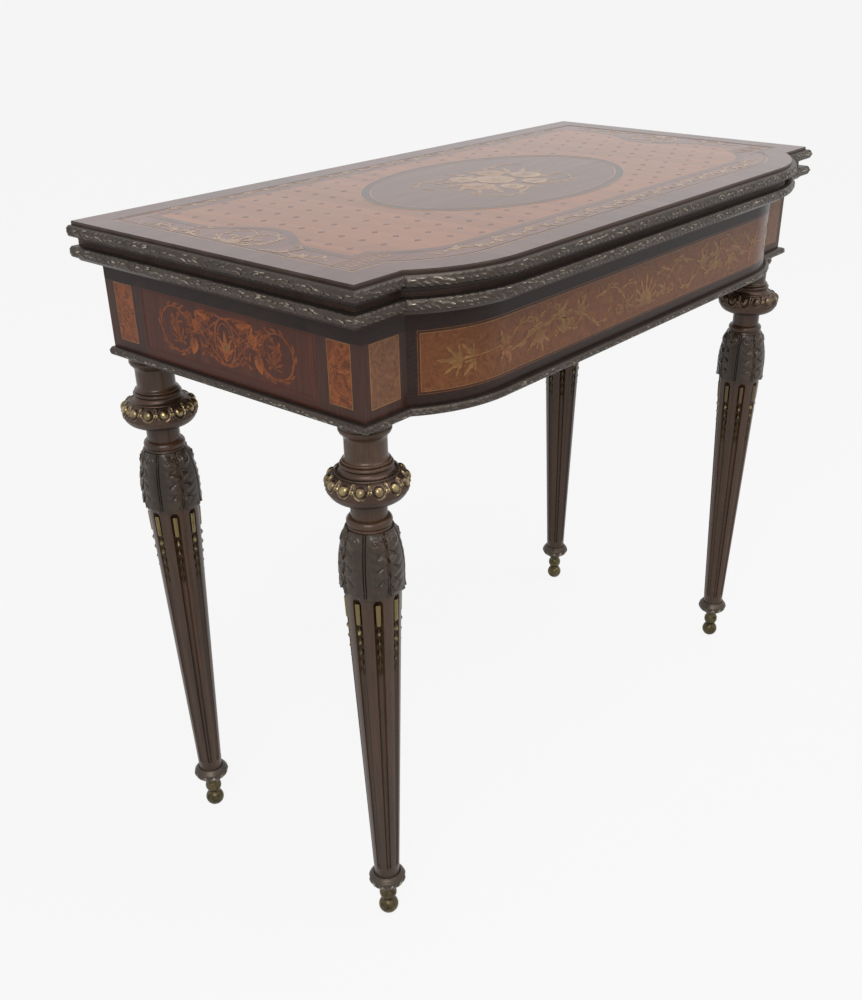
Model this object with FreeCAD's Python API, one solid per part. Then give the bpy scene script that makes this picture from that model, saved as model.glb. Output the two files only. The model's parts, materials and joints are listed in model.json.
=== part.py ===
import FreeCAD, Part
import math
import os
from collections import namedtuple

# A fold-over card table: four turned legs, a shaped frieze frame, and two hinged leaves
# that swivel a quarter turn on a bolt and then open flat over the frame.
# Millimetres. The origin is on the floor under the middle of the table's plan.
# +X is to the right, +Y to the back, +Z up.

os.makedirs("parts", exist_ok=True)
Vector = FreeCAD.Vector

# Overall size and the plan of the leaves
table_height = 770.0
leaf_half_width = 442.0
leaf_depth = 442.0
ear_width = 61.65
ear_setback = 44.0
shoulder_radius = 168.0
cut_overrun = 5.0

# Leaves, from the top arris down
leaf_thickness = 20.3
leaf_gap = 0.4
leaf_arris = 1.0
top_fillet_height = 3.7
hollow_recess = 5.0
lower_hollow_height = 3.9
ovolo_inset = 4.0
crossband_width = 30.0
top_veneer_thickness = 1.0

# Bronze mounts on the edges of the leaves and at the foot of the frieze
edge_mount_height = 11.3
mount_projection = 8.0
mount_rim = 3.5
mount_seat = 3.0
mount_face_share = 0.4
frieze_mount_height = 9.0
frieze_mount_projection = 8.5

# Baize on the two inner faces
baize_border = 45.0
baize_thickness = 1.0
baize_recess = 1.2

# Frame under the leaves
leaf_frame_gap = 1.0
frame_height = 100.0
side_overhang = 19.2
front_overhang = 20.5
ear_overhang = 13.3
back_overhang = 15.0
rail_thickness = 22.0
post_depth = 58.0
felt_thickness = 0.7
felt_width = 12.0
felt_length = 120.0

# Veneer panels let into the frieze
panel_thickness = 0.8
panel_bottom_margin = 19.0
panel_top_margin = 19.0
front_panel_end_margin = 8.0
end_panel_end_margin = 2.0
corner_panel_width = 30.0
ear_panel_width = 40.0

# Card well, closed below by a board on bearers
bearer_size = 10.0
bearer_lift = 2.0
board_thickness = 6.0
board_clearance = 0.3
partition_thickness = 8.0
lining_thickness = 0.8

# Dowels that hold the frame together
dowel_radius = 4.0
dowel_length = 36.0
dowel_fit = 0.05
dowel_end_room = 1.0
dowel_edge_margin = 28.0

# Swivel: plate in the lower leaf, bolt, bush in the pivot rail, washer, nut and stop
pivot_rail_width = 50.0
pivot_rail_height = 30.0
pivot_plate_radius = 32.0
pivot_plate_thickness = 3.0
pivot_bolt_radius = 5.0
pivot_bolt_fit = 0.05
pivot_bolt_end = 4.0
pivot_head_radius = 10.0
pivot_head_height = 4.0
pivot_bush_wall = 3.0
pivot_running_fit = 0.08
pivot_washer_radius = 13.0
pivot_washer_thickness = 1.5
pivot_nut_radius = 9.5
pivot_nut_height = 6.0
pivot_end_gap = 0.3
plate_screw_circle_radius = 23.0
plate_screw_count = 4
stop_peg_radius = 6.0
stop_peg_seat = 12.0
stop_peg_reach = 28.0
stop_gap = 0.4
stop_block_depth = 24.0
stop_block_height = 26.0

# Hinges in the back edges
hinge_count = 3
hinge_end_margin = 112.0
hinge_length = 50.0
hinge_plate_height = 14.0
hinge_plate_thickness = 2.0
hinge_knuckle_radius = 4.0
hinge_knuckle_room = 0.4
hinge_axial_gap = 0.3
hinge_edge_gap = 0.3
hinge_pin_radius = 1.6
hinge_pin_fit = 0.05
hinge_screw_margin = 9.0
hinge_screw_share = 0.68

# Countersunk brass screws
screw_head_radius = 3.0
screw_shank_radius = 1.5
screw_head_height = 1.5
screw_length = 12.0
screw_fit = 0.05

# Legs, from the frame down to the floor
leg_inset = 24.3
leg_back_inset = 29.8
spigot_radius = 12.0
spigot_height = 45.0
leg_fit = 0.05
leg_neck_height = 45.0
leg_flange_radius = 24.8
leg_flange_height = 10.0
leg_cove_height = 9.0
leg_cove_share = 0.25
leg_cylinder_radius = 21.0
leg_ring_radius = 25.3
leg_ring_rim_radius = 22.6
leg_ring_height = 7.0
collar_height = 33.0
collar_radius = 42.0
collar_top_radius = 30.0
collar_foot_radius = 22.0
collar_widest_share = 0.53
shaft_neck_height = 20.0
shaft_neck_radius = 18.3
torus_height = 9.0
torus_radius = 23.0
torus_foot_radius = 21.5
vase_height = 73.0
vase_radius = 30.2
vase_widest_share = 0.6
shaft_top_radius = 29.0
shaft_foot_radius = 14.6
foot_tenon_radius = 9.0
foot_ring_height = 19.0
foot_ring_radius = 22.4
foot_ring_rim_radius = 15.6
foot_height = 47.0
foot_neck_radius = 10.3
foot_spigot_radius = 4.0
foot_spigot_height = 20.0
ball_radius = 11.6
ball_flat_radius = 4.0
ball_waist_radius = 6.4

# Flutes on the shafts with their brass bars and husks, and the acanthus leaves above them
leg_turn = 8.0
flute_count = 8
flute_top_margin = 6.0
flute_foot_margin = 14.0
flute_top_radius = 5.0
flute_foot_radius = 2.6
flute_bar_length = 25.0
flute_husk_length = 65.0
flute_bar_share = 0.62
flute_bar_gap = 0.15
flute_husk_share = 0.75
flute_husk_tip_share = 0.3
flute_husk_lap = 2.0
leaf_count = 4
leaf_half_spread = 19.0
leaf_tip_half_spread = 9.0
leaf_waist_share = 0.72
leaf_drop = 66.0
leaf_top_margin = 4.0
leaf_sheet = 2.0
leaf_flare = 2.6

full_turn = 360.0
hexagon_sides = 6
up = Vector(0, 0, 1)
right = Vector(1, 0, 0)
back = Vector(0, 1, 0)
front = Vector(0, -1, 0)

# Heights worked out from the top down
upper_leaf_bottom = table_height - leaf_thickness
lower_leaf_top = upper_leaf_bottom - leaf_gap
lower_leaf_bottom = lower_leaf_top - leaf_thickness
frame_top = lower_leaf_bottom - leaf_frame_gap
frame_bottom = frame_top - frame_height
leg_neck_bottom = frame_bottom - leg_neck_height
collar_bottom = leg_neck_bottom - collar_height
shaft_neck_bottom = collar_bottom - shaft_neck_height
vase_top = shaft_neck_bottom - torus_height
vase_bottom = vase_top - vase_height
shaft_bottom = foot_height + foot_ring_height
spigot_top = frame_bottom + spigot_height

# Places on the plan, with the table's whole depth centred on the origin
shoulder_rise = shoulder_radius - ear_setback
shoulder_reach = math.sqrt(shoulder_radius ** 2 - shoulder_rise ** 2)
front_flat_half = leaf_half_width - ear_width - shoulder_reach
knuckle_reach = hinge_edge_gap + hinge_knuckle_radius
leaf_back_y = (leaf_depth + mount_projection - knuckle_reach) / 2
leaf_front_y = leaf_back_y - leaf_depth
leaf_ear_y = leaf_front_y + ear_setback
hinge_y = leaf_back_y + hinge_edge_gap
hinge_z = lower_leaf_top + leaf_gap / 2

Plan = namedtuple("Plan", "half_width back_y ear_y front_y flat_half shoulder_radius")
leaf_plan = Plan(leaf_half_width, leaf_back_y, leaf_ear_y, leaf_front_y, front_flat_half, shoulder_radius)
frieze_plan = Plan(
    leaf_half_width - side_overhang,
    leaf_back_y - back_overhang,
    leaf_ear_y + ear_overhang,
    leaf_front_y + front_overhang,
    front_flat_half,
    shoulder_radius - front_overhang,
)

# The swivel stands where a quarter turn brings the hinge line over the middle of the frame
frame_middle_y = (frieze_plan.back_y + frieze_plan.front_y) / 2
pivot_x = (hinge_y - frame_middle_y) / 2
pivot_y = (hinge_y + frame_middle_y) / 2


def save(name, solids):
    """Write one node, a single solid or a group of separate ones."""
    shape = solids[0] if len(solids) == 1 else Part.makeCompound(solids)
    shape.exportStep("parts/" + name + ".step")


def box(x_range, y_range, z_range):
    """Make a block between the given low and high values of each axis."""
    size = [high - low for low, high in (x_range, y_range, z_range)]
    return Part.makeBox(*size, Vector(x_range[0], y_range[0], z_range[0]))


def mirrored(shape):
    """Give the same shape on the other side of the table."""
    return shape.mirror(Vector(0, 0, 0), right)


def notch_point(plan, offset):
    """Give the re-entrant corner between the right ear and the bowed front of an offset plan."""
    centre_y = plan.front_y + plan.shoulder_radius
    rise = centre_y - plan.ear_y + offset
    reach = math.sqrt((plan.shoulder_radius + offset) ** 2 - rise ** 2)
    return Vector(plan.flat_half + reach, plan.ear_y - offset, 0)


def corner_point(plan, offset):
    """Give the right front corner of an offset plan."""
    return Vector(plan.half_width + offset, plan.ear_y - offset, 0)


def plan_wire(plan, offset, z, back_offset=0):
    """Draw the closed plan outline at one height, grown by an offset on all edges but the back."""
    notch = notch_point(plan, offset)
    corner = corner_point(plan, offset)
    centre_y = plan.front_y + plan.shoulder_radius
    radius = plan.shoulder_radius + offset
    turn = math.asin((notch.x - plan.flat_half) / radius) / 2
    shoulder_x = plan.flat_half + radius * math.sin(turn)
    shoulder_y = centre_y - radius * math.cos(turn)
    front_y = plan.front_y - offset
    back_y = plan.back_y + back_offset

    def line(x0, y0, x1, y1):
        return Part.makeLine(Vector(x0, y0, z), Vector(x1, y1, z))

    def arc(x0, y0, x1, y1, x2, y2):
        return Part.Arc(Vector(x0, y0, z), Vector(x1, y1, z), Vector(x2, y2, z)).toShape()

    edges = [
        line(-corner.x, back_y, corner.x, back_y),
        line(corner.x, back_y, corner.x, corner.y),
        line(corner.x, corner.y, notch.x, notch.y),
        arc(notch.x, notch.y, shoulder_x, shoulder_y, plan.flat_half, front_y),
        line(plan.flat_half, front_y, -plan.flat_half, front_y),
        arc(-plan.flat_half, front_y, -shoulder_x, shoulder_y, -notch.x, notch.y),
        line(-notch.x, notch.y, -corner.x, corner.y),
        line(-corner.x, corner.y, -corner.x, back_y),
    ]
    return Part.Wire(edges)


def plan_prism(plan, offset, z_low, z_high, back_offset=0):
    """Make a straight block with the plan's outline."""
    face = Part.Face(plan_wire(plan, offset, z_low, back_offset))
    return face.extrude(Vector(0, 0, z_high - z_low))


def plan_stack(plan, levels, back_offset=0):
    """Join the layers between (offset, height) levels into one solid with that edge profile."""
    layers = []
    for (offset, z), (next_offset, next_z) in zip(levels, levels[1:]):
        if next_z == z:
            continue
        if next_offset == offset:
            layers.append(plan_prism(plan, offset, z, next_z, back_offset))
            continue
        wires = [plan_wire(plan, offset, z, back_offset), plan_wire(plan, next_offset, next_z, back_offset)]
        layers.append(Part.makeLoft(wires, True, True))
    return layers[0].fuse(layers[1:]).removeSplitter()


def prism_of(points, z_low, z_high):
    """Make a straight block over a polygon of plan points."""
    base = [Vector(point.x, point.y, z_low) for point in points]
    return Part.Face(Part.makePolygon(base + base[:1])).extrude(Vector(0, 0, z_high - z_low))


def moulding(plan, z_low, height, seat, rim, projection):
    """Make a bronze edge moulding in five mitred lengths: side, ear, bowed front, ear, side."""
    swell = height * (1 - mount_face_share) / 2
    z_high = z_low + height
    levels = [(rim, z_low), (projection, z_low + swell), (projection, z_high - swell), (rim, z_high)]
    hollow = plan_prism(plan, -seat, z_low - cut_overrun, z_high + cut_overrun, cut_overrun)
    ring = plan_stack(plan, levels).cut(hollow)
    reach = seat + projection + cut_overrun
    corner_in = corner_point(plan, -reach)
    corner_out = corner_point(plan, reach)
    notch_in = notch_point(plan, -reach)
    notch_out = notch_point(plan, reach)
    back_out = Vector(corner_out.x, plan.back_y + reach, 0)
    back_in = Vector(corner_in.x, plan.back_y + reach, 0)
    front_y = plan.front_y - reach
    side = prism_of([corner_in, corner_out, back_out, back_in], z_low, z_high)
    ear = prism_of([notch_in, notch_out, corner_out, corner_in], z_low, z_high)
    bow_half = [notch_in, notch_out, Vector(notch_out.x, front_y, 0)]
    bow_other = [Vector(-point.x, point.y, 0) for point in reversed(bow_half)]
    bow = prism_of(bow_half + bow_other, z_low, z_high)
    right_side = ring.common(side).Solids[0]
    right_ear = ring.common(ear).Solids[0]
    bowed_front = ring.common(bow).Solids[0]
    return [right_side, right_ear, bowed_front, mirrored(right_ear), mirrored(right_side)]


def turned(profile):
    """Turn a closed profile of (radius, height) points about Z; four values are an arc by way of a point."""
    edges = []
    here = Vector(profile[0][0], 0, profile[0][1])
    for step in profile[1:] + profile[:1]:
        end = Vector(step[-2], 0, step[-1])
        if len(step) > 2:
            edges.append(Part.Arc(here, Vector(step[0], 0, step[1]), end).toShape())
        else:
            edges.append(Part.makeLine(here, end))
        here = end
    return Part.Face(Part.Wire(edges)).revolve(Vector(0, 0, 0), up, full_turn)


def spun(shape, count, first_angle):
    """Give count copies of a shape, evenly spaced about Z."""
    copies = []
    for index in range(count):
        copy = shape.copy()
        copy.rotate(Vector(0, 0, 0), up, first_angle + index * full_turn / count)
        copies.append(copy)
    return copies


def moved(shape, place):
    """Give a copy of a shape moved by a vector."""
    copy = shape.copy()
    copy.translate(place)
    return copy


def screw(place, direction, grow):
    """Make a countersunk screw with its head face at a place, or its hole when grown."""
    shank_radius = screw_shank_radius + grow
    head = Part.makeCone(screw_head_radius + grow, shank_radius, screw_head_height, place, direction)
    shank = Part.makeCylinder(shank_radius, screw_length + grow, place, direction)
    return head.fuse(shank).removeSplitter()


# Hinges: a plate in each back edge, two knuckles on the lower one and one on the upper
def hinge_places():
    """Give the middle x of each hinge along the back edge."""
    last = leaf_half_width - hinge_end_margin
    step = 2 * last / (hinge_count - 1)
    return [-last + index * step for index in range(hinge_count)]


def knuckle(x_low, x_high, radius):
    """Make a round bar on the hinge axis."""
    return Part.makeCylinder(radius, x_high - x_low, Vector(x_low, hinge_y, hinge_z), right)


def hinge_plate(x, is_upper):
    """Make one hinge plate with its own knuckles, cleared for the other plate's knuckles."""
    low, high = x - hinge_length / 2, x + hinge_length / 2
    third = hinge_length / 3
    middle = (low + third, high - third)
    outer = [(low, low + third - hinge_axial_gap), (high - third + hinge_axial_gap, high)]
    own = [middle] if is_upper else outer
    other = outer if is_upper else [middle]
    edge = upper_leaf_bottom if is_upper else lower_leaf_top
    z_range = (edge, edge + hinge_plate_height) if is_upper else (edge - hinge_plate_height, edge)
    plate = box((low, high), (leaf_back_y - hinge_plate_thickness, leaf_back_y), z_range)
    room = hinge_knuckle_radius + hinge_knuckle_room
    gap = hinge_axial_gap / 2
    plate = plate.cut([knuckle(a - gap, b + gap, room) for a, b in other])
    plate = plate.fuse([knuckle(a, b, hinge_knuckle_radius) for a, b in own])
    bore = knuckle(low - cut_overrun, high + cut_overrun, hinge_pin_radius + hinge_pin_fit)
    return plate.cut(bore).removeSplitter()


def hinge_screw_places(x, is_upper):
    """Give the two screw places on a hinge plate."""
    z = hinge_z + (hinge_plate_height if is_upper else -hinge_plate_height) * hinge_screw_share
    reach = hinge_length / 2 - hinge_screw_margin
    return [Vector(x - reach, leaf_back_y, z), Vector(x + reach, leaf_back_y, z)]


def hinge_cuts(is_upper):
    """Give the recesses that one leaf needs for its plates, knuckles and screws."""
    cuts = []
    edge = upper_leaf_bottom if is_upper else lower_leaf_top
    z_range = (edge - cut_overrun, edge + hinge_plate_height)
    if not is_upper:
        z_range = (edge - hinge_plate_height, edge + cut_overrun)
    room = hinge_knuckle_radius + hinge_knuckle_room
    for x in hinge_places():
        low, high = x - hinge_length / 2, x + hinge_length / 2
        y_range = (leaf_back_y - hinge_plate_thickness, leaf_back_y + cut_overrun)
        cuts.append(box((low, high), y_range, z_range))
        cuts.append(knuckle(low, high, room))
        cuts += [screw(place, front, screw_fit) for place in hinge_screw_places(x, is_upper)]
    return cuts


def plates_for(is_upper):
    """Make the three plates of one leaf, countersunk for their screws."""
    plates = []
    for x in hinge_places():
        holes = [screw(place, front, screw_fit) for place in hinge_screw_places(x, is_upper)]
        plates.append(hinge_plate(x, is_upper).cut(holes))
    return plates


def hinge_screws(is_upper):
    """Make the screws of one leaf's hinge plates."""
    places = [place for x in hinge_places() for place in hinge_screw_places(x, is_upper)]
    return [screw(place, front, 0) for place in places]


# Swivel and stop: the peg swings a quarter turn beside the pivot rail
bolt_hole = pivot_bolt_radius + pivot_bolt_fit
plate_top = lower_leaf_bottom + pivot_plate_thickness
rail_inner_back_y = frieze_plan.back_y - rail_thickness
rail_inner_front_y = frieze_plan.ear_y + rail_thickness
pivot_rail_bottom = frame_top - pivot_rail_height
stop_arm = rail_inner_back_y - stop_peg_radius - stop_gap - pivot_y
peg_place = Vector(pivot_x + stop_arm, pivot_y - stop_arm, lower_leaf_bottom)
washer_top = pivot_rail_bottom - pivot_end_gap
washer_bottom = washer_top - pivot_washer_thickness
nut_bottom = washer_bottom - pivot_nut_height
bolt_bottom = nut_bottom - pivot_bolt_end


def pivot_cylinder(radius, z_low, z_high):
    """Make a round bar on the swivel axis."""
    return Part.makeCylinder(radius, z_high - z_low, Vector(pivot_x, pivot_y, z_low), up)


def pivot_screw_places():
    """Give the screw places around the pivot plate."""
    turns = [(index + 0.5) * 2 * math.pi / plate_screw_count for index in range(plate_screw_count)]
    reach = plate_screw_circle_radius
    return [
        Vector(pivot_x + reach * math.cos(turn), pivot_y + reach * math.sin(turn), lower_leaf_bottom)
        for turn in turns
    ]


plate_screw_holes = [screw(place, up, screw_fit) for place in pivot_screw_places()]
pivot_plate = pivot_cylinder(pivot_plate_radius, lower_leaf_bottom, plate_top)
pivot_plate = pivot_plate.cut([pivot_cylinder(bolt_hole, lower_leaf_bottom, plate_top)] + plate_screw_holes)
pivot_bolt = pivot_cylinder(pivot_head_radius, plate_top, plate_top + pivot_head_height)
pivot_bolt = pivot_bolt.fuse(pivot_cylinder(pivot_bolt_radius, bolt_bottom, plate_top)).removeSplitter()
pivot_washer = pivot_cylinder(pivot_washer_radius, washer_bottom, washer_top)
pivot_washer = pivot_washer.cut(pivot_cylinder(bolt_hole, washer_bottom, washer_top))
nut_points = [
    Vector(
        pivot_x + pivot_nut_radius * math.cos(index * 2 * math.pi / hexagon_sides),
        pivot_y + pivot_nut_radius * math.sin(index * 2 * math.pi / hexagon_sides),
        0,
    )
    for index in range(hexagon_sides)
]
pivot_nut = prism_of(nut_points, nut_bottom, washer_bottom)
pivot_nut = pivot_nut.cut(pivot_cylinder(bolt_hole, nut_bottom, washer_bottom))
bush_bore = pivot_bolt_radius + pivot_running_fit
bush_radius = bush_bore + pivot_bush_wall
pivot_bush = pivot_cylinder(bush_radius, pivot_rail_bottom, frame_top)
pivot_bush = pivot_bush.cut(pivot_cylinder(bush_bore, pivot_rail_bottom, frame_top))
peg_length = stop_peg_seat + stop_peg_reach
peg_foot = peg_place - up * stop_peg_reach
stop_peg = Part.makeCylinder(stop_peg_radius, peg_length, peg_foot, up)

save("pivot_plate", [pivot_plate])
save("pivot_plate_screws", [screw(place, up, 0) for place in pivot_screw_places()])
save("pivot_bolt", [pivot_bolt])
save("pivot_washer", [pivot_washer])
save("pivot_nut", [pivot_nut])
save("pivot_bush", [pivot_bush])
save("stop_peg", [stop_peg])

# Hinge pieces
hinge_pins = [knuckle(x - hinge_length / 2, x + hinge_length / 2, hinge_pin_radius) for x in hinge_places()]
save("hinge_lower_plates", plates_for(False))
save("hinge_upper_plates", plates_for(True))
save("hinge_lower_screws", hinge_screws(False))
save("hinge_upper_screws", hinge_screws(True))
save("hinge_pins", hinge_pins)

# Upper leaf, shown closed: its veneered face is on top and its baize underneath
upper_mount_top = table_height - top_fillet_height
upper_mount_bottom = upper_mount_top - edge_mount_height
upper_leaf = plan_stack(
    leaf_plan,
    [
        (-hollow_recess, upper_leaf_bottom),
        (-hollow_recess, upper_mount_bottom),
        (-mount_seat, upper_mount_bottom),
        (-mount_seat, upper_mount_top),
        (0, upper_mount_top),
        (0, table_height - leaf_arris),
        (-leaf_arris, table_height),
    ],
)
top_panel = plan_prism(
    leaf_plan, -crossband_width, table_height - top_veneer_thickness, table_height, -crossband_width
)
upper_recess = plan_prism(
    leaf_plan, -baize_border, upper_leaf_bottom, upper_leaf_bottom + baize_recess, -baize_border
)
upper_baize = plan_prism(
    leaf_plan,
    -baize_border,
    upper_leaf_bottom + baize_recess - baize_thickness,
    upper_leaf_bottom + baize_recess,
    -baize_border,
)
upper_leaf = upper_leaf.cut([top_panel, upper_recess] + hinge_cuts(True))
save("upper_leaf", [upper_leaf])
save("top_marquetry_panel", [top_panel])
save("upper_baize", [upper_baize])
upper_mount = moulding(
    leaf_plan, upper_mount_bottom, edge_mount_height, mount_seat, mount_rim, mount_projection
)
save("upper_edge_mount", upper_mount)

# Lower leaf, with the swivel plate let into its underside
lower_mount_top = lower_leaf_top - lower_hollow_height
lower_mount_bottom = lower_mount_top - edge_mount_height
lower_leaf = plan_stack(
    leaf_plan,
    [
        (-ovolo_inset, lower_leaf_bottom),
        (0, lower_mount_bottom),
        (-mount_seat, lower_mount_bottom),
        (-mount_seat, lower_mount_top),
        (-hollow_recess, lower_mount_top),
        (-hollow_recess, lower_leaf_top),
    ],
)
lower_recess = plan_prism(
    leaf_plan, -baize_border, lower_leaf_top - baize_recess, lower_leaf_top, -baize_border
)
lower_baize = plan_prism(
    leaf_plan,
    -baize_border,
    lower_leaf_top - baize_recess,
    lower_leaf_top - baize_recess + baize_thickness,
    -baize_border,
)
swivel_cuts = [
    pivot_cylinder(pivot_plate_radius, lower_leaf_bottom, plate_top),
    pivot_cylinder(pivot_head_radius, plate_top, plate_top + pivot_head_height),
    stop_peg,
]
lower_leaf = lower_leaf.cut([lower_recess] + swivel_cuts + plate_screw_holes + hinge_cuts(False))
save("lower_leaf", [lower_leaf])
save("lower_baize", [lower_baize])
lower_mount = moulding(
    leaf_plan, lower_mount_bottom, edge_mount_height, mount_seat, mount_rim, mount_projection
)
save("lower_edge_mount", lower_mount)

# Frame: four posts with the rails between them
frame_z = (frame_bottom, frame_top)
post_inner_x = notch_point(frieze_plan, 0).x
post_x = (post_inner_x, frieze_plan.half_width)
rail_x = (-post_inner_x, post_inner_x)
front_post_y = (frieze_plan.ear_y, frieze_plan.ear_y + post_depth)
back_post_y = (frieze_plan.back_y - post_depth, frieze_plan.back_y)
end_rail_y = (front_post_y[1], back_post_y[0])
end_rail_x = (frieze_plan.half_width - rail_thickness, frieze_plan.half_width)
panel_z = (frame_bottom + panel_bottom_margin, frame_top - panel_top_margin)
leg_x = frieze_plan.half_width - leg_inset
leg_front_y = frieze_plan.ear_y + leg_inset
leg_back_y = frieze_plan.back_y - leg_back_inset


def dowel_pair(places, axis):
    """Make dowels centred on the given joint places, and the holes that take them."""
    hole_length = dowel_length + 2 * dowel_end_room
    dowels = [
        Part.makeCylinder(dowel_radius, dowel_length, place - axis * (dowel_length / 2), axis)
        for place in places
    ]
    holes = [
        Part.makeCylinder(dowel_radius + dowel_fit, hole_length, place - axis * (hole_length / 2), axis)
        for place in places
    ]
    return dowels, holes


dowel_heights = (frame_bottom + dowel_edge_margin, frame_top - dowel_edge_margin)
front_rail_middle_y = (frieze_plan.ear_y + rail_inner_front_y) / 2
back_rail_middle_y = (frieze_plan.back_y + rail_inner_back_y) / 2
end_rail_middle_x = (end_rail_x[0] + end_rail_x[1]) / 2
side_places = [
    Vector(sign * end_rail_middle_x, y, z) for sign in (-1, 1) for y in end_rail_y for z in dowel_heights
]
cross_places = [
    Vector(x, y, z) for x in rail_x for y in (front_rail_middle_y, back_rail_middle_y) for z in dowel_heights
]
pivot_dowel_reach = pivot_rail_width / 2 - 2 * dowel_radius
pivot_dowel_z = frame_top - pivot_rail_height / 2
pivot_places = [
    Vector(pivot_x + sign * pivot_dowel_reach, y, pivot_dowel_z)
    for sign in (-1, 1)
    for y in (rail_inner_front_y, rail_inner_back_y)
]
side_dowels, side_holes = dowel_pair(side_places + pivot_places, back)
cross_dowels, cross_holes = dowel_pair(cross_places, right)
dowel_holes = side_holes + cross_holes
save("rail_dowels", side_dowels + cross_dowels)

# Veneer panels in shallow recesses: bowed front, both ends and the corner posts
panel_skin = plan_prism(frieze_plan, 0, *panel_z).cut(
    plan_prism(frieze_plan, -panel_thickness, *panel_z, cut_overrun)
)
front_panel_half = post_inner_x - front_panel_end_margin
front_panel_y = (frieze_plan.front_y - cut_overrun, rail_inner_front_y)
front_panel = panel_skin.common(box((-front_panel_half, front_panel_half), front_panel_y, panel_z)).Solids[0]
skin_x = (frieze_plan.half_width - panel_thickness, frieze_plan.half_width)
end_panel_y = (end_rail_y[0] + end_panel_end_margin, end_rail_y[1] - end_panel_end_margin)
right_panel = box(skin_x, end_panel_y, panel_z)
left_panel = mirrored(right_panel)


def centred(low_high, width):
    """Give the range of a width centred in another range."""
    middle = (low_high[0] + low_high[1]) / 2
    return (middle - width / 2, middle + width / 2)


ear_skin_y = (frieze_plan.ear_y, frieze_plan.ear_y + panel_thickness)
right_corner_panels = [
    box(centred(post_x, ear_panel_width), ear_skin_y, panel_z),
    box(skin_x, centred(front_post_y, corner_panel_width), panel_z),
    box(skin_x, centred(back_post_y, corner_panel_width), panel_z),
]
corner_panels = right_corner_panels + [mirrored(panel) for panel in right_corner_panels]
save("front_marquetry_panel", [front_panel])
save("left_marquetry_panel", [left_panel])
save("right_marquetry_panel", [right_panel])
save("corner_veneers", corner_panels)

# Posts, each bored from below for the spigot of its leg
right_posts = {"front": front_post_y, "back": back_post_y}
leg_y = {"front": leg_front_y, "back": leg_back_y}
for end, post_y in right_posts.items():
    bore_foot = Vector(leg_x, leg_y[end], frame_bottom)
    bore = Part.makeCylinder(spigot_radius + leg_fit, spigot_height, bore_foot, up)
    post = box(post_x, post_y, frame_z).cut(bore)
    for side, shape in (("right", post), ("left", mirrored(post))):
        save(end + "_" + side + "_post", [shape.cut(dowel_holes + corner_panels)])

# Rails
front_rail = plan_prism(frieze_plan, 0, *frame_z).common(
    box(rail_x, (frieze_plan.front_y - cut_overrun, rail_inner_front_y), frame_z)
)
save("front_rail", [front_rail.cut(dowel_holes + [front_panel]).Solids[0]])
back_rail = box(rail_x, (rail_inner_back_y, frieze_plan.back_y), frame_z)
save("back_rail", [back_rail.cut(dowel_holes)])
right_rail = box(end_rail_x, end_rail_y, frame_z)
save("right_end_rail", [right_rail.cut(dowel_holes + [right_panel])])
save("left_end_rail", [mirrored(right_rail).cut(dowel_holes + [left_panel])])
pivot_rail_x = (pivot_x - pivot_rail_width / 2, pivot_x + pivot_rail_width / 2)
inner_y = (rail_inner_front_y, rail_inner_back_y)
pivot_rail = box(pivot_rail_x, inner_y, (pivot_rail_bottom, frame_top))
pivot_rail = pivot_rail.cut(dowel_holes + [pivot_cylinder(bush_radius, pivot_rail_bottom, frame_top)])
save("pivot_rail", [pivot_rail])
stop_block_y_high = peg_place.y - stop_peg_radius - stop_gap
stop_block = box(
    (pivot_rail_x[1], peg_place.x + stop_peg_radius),
    (stop_block_y_high - stop_block_depth, stop_block_y_high),
    (frame_top - stop_block_height, frame_top),
)
save("stop_block", [stop_block])

# Card well: bearers, board, partition and lining
bearer_z = (frame_bottom + bearer_lift, frame_bottom + bearer_lift + bearer_size)
board_z = (bearer_z[1], bearer_z[1] + board_thickness)
bearers = [
    box(rail_x, (inner_y[0], inner_y[0] + bearer_size), bearer_z),
    box(rail_x, (inner_y[1] - bearer_size, inner_y[1]), bearer_z),
]
right_bearer = box((end_rail_x[0] - bearer_size, end_rail_x[0]), end_rail_y, bearer_z)
save("bottom_bearers", bearers + [right_bearer, mirrored(right_bearer)])


def post_clearances(z_range):
    """Give the blocks that a board leaves free around the four posts."""
    x_range = (post_x[0] - board_clearance, post_x[1])
    y_front = (front_post_y[0], front_post_y[1] + board_clearance)
    y_back = (back_post_y[0] - board_clearance, back_post_y[1])
    blocks = [box(x_range, y_range, z_range) for y_range in (y_front, y_back)]
    return blocks + [mirrored(block) for block in blocks]


board_half = end_rail_x[0] - board_clearance
board_y = (inner_y[0] + board_clearance, inner_y[1] - board_clearance)
bottom_board = box((-board_half, board_half), board_y, board_z).cut(post_clearances(board_z))
save("bottom_board", [bottom_board])
partition_x = (pivot_rail_x[0] - partition_thickness, pivot_rail_x[0])
save("well_partition", [box(partition_x, inner_y, (board_z[1], frame_top))])
lining_z = (board_z[1], board_z[1] + lining_thickness)
well_lining = box((-board_half, partition_x[0]), board_y, lining_z).cut(post_clearances(lining_z))
save("well_lining", [well_lining])

# Felts on the frame, just clear of the lower leaf
felt_z = (frame_top, frame_top + felt_thickness)
felt_middle_x = felt_length / 2
felt_y_front = centred((rail_inner_front_y - rail_thickness, rail_inner_front_y), felt_width)
felt_y_back = centred((rail_inner_back_y, frieze_plan.back_y), felt_width)
end_felt = box(centred(end_rail_x, felt_width), centred(end_rail_y, felt_length), felt_z)
felts = [
    box((-felt_middle_x, felt_middle_x), felt_y_front, felt_z),
    box((-felt_middle_x, felt_middle_x), felt_y_back, felt_z),
    end_felt,
    mirrored(end_felt),
]
save("glide_felts", felts)

frieze_mount = moulding(frieze_plan, frame_bottom, frieze_mount_height, 0, mount_rim, frieze_mount_projection)
save("frieze_mount", frieze_mount)

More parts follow.
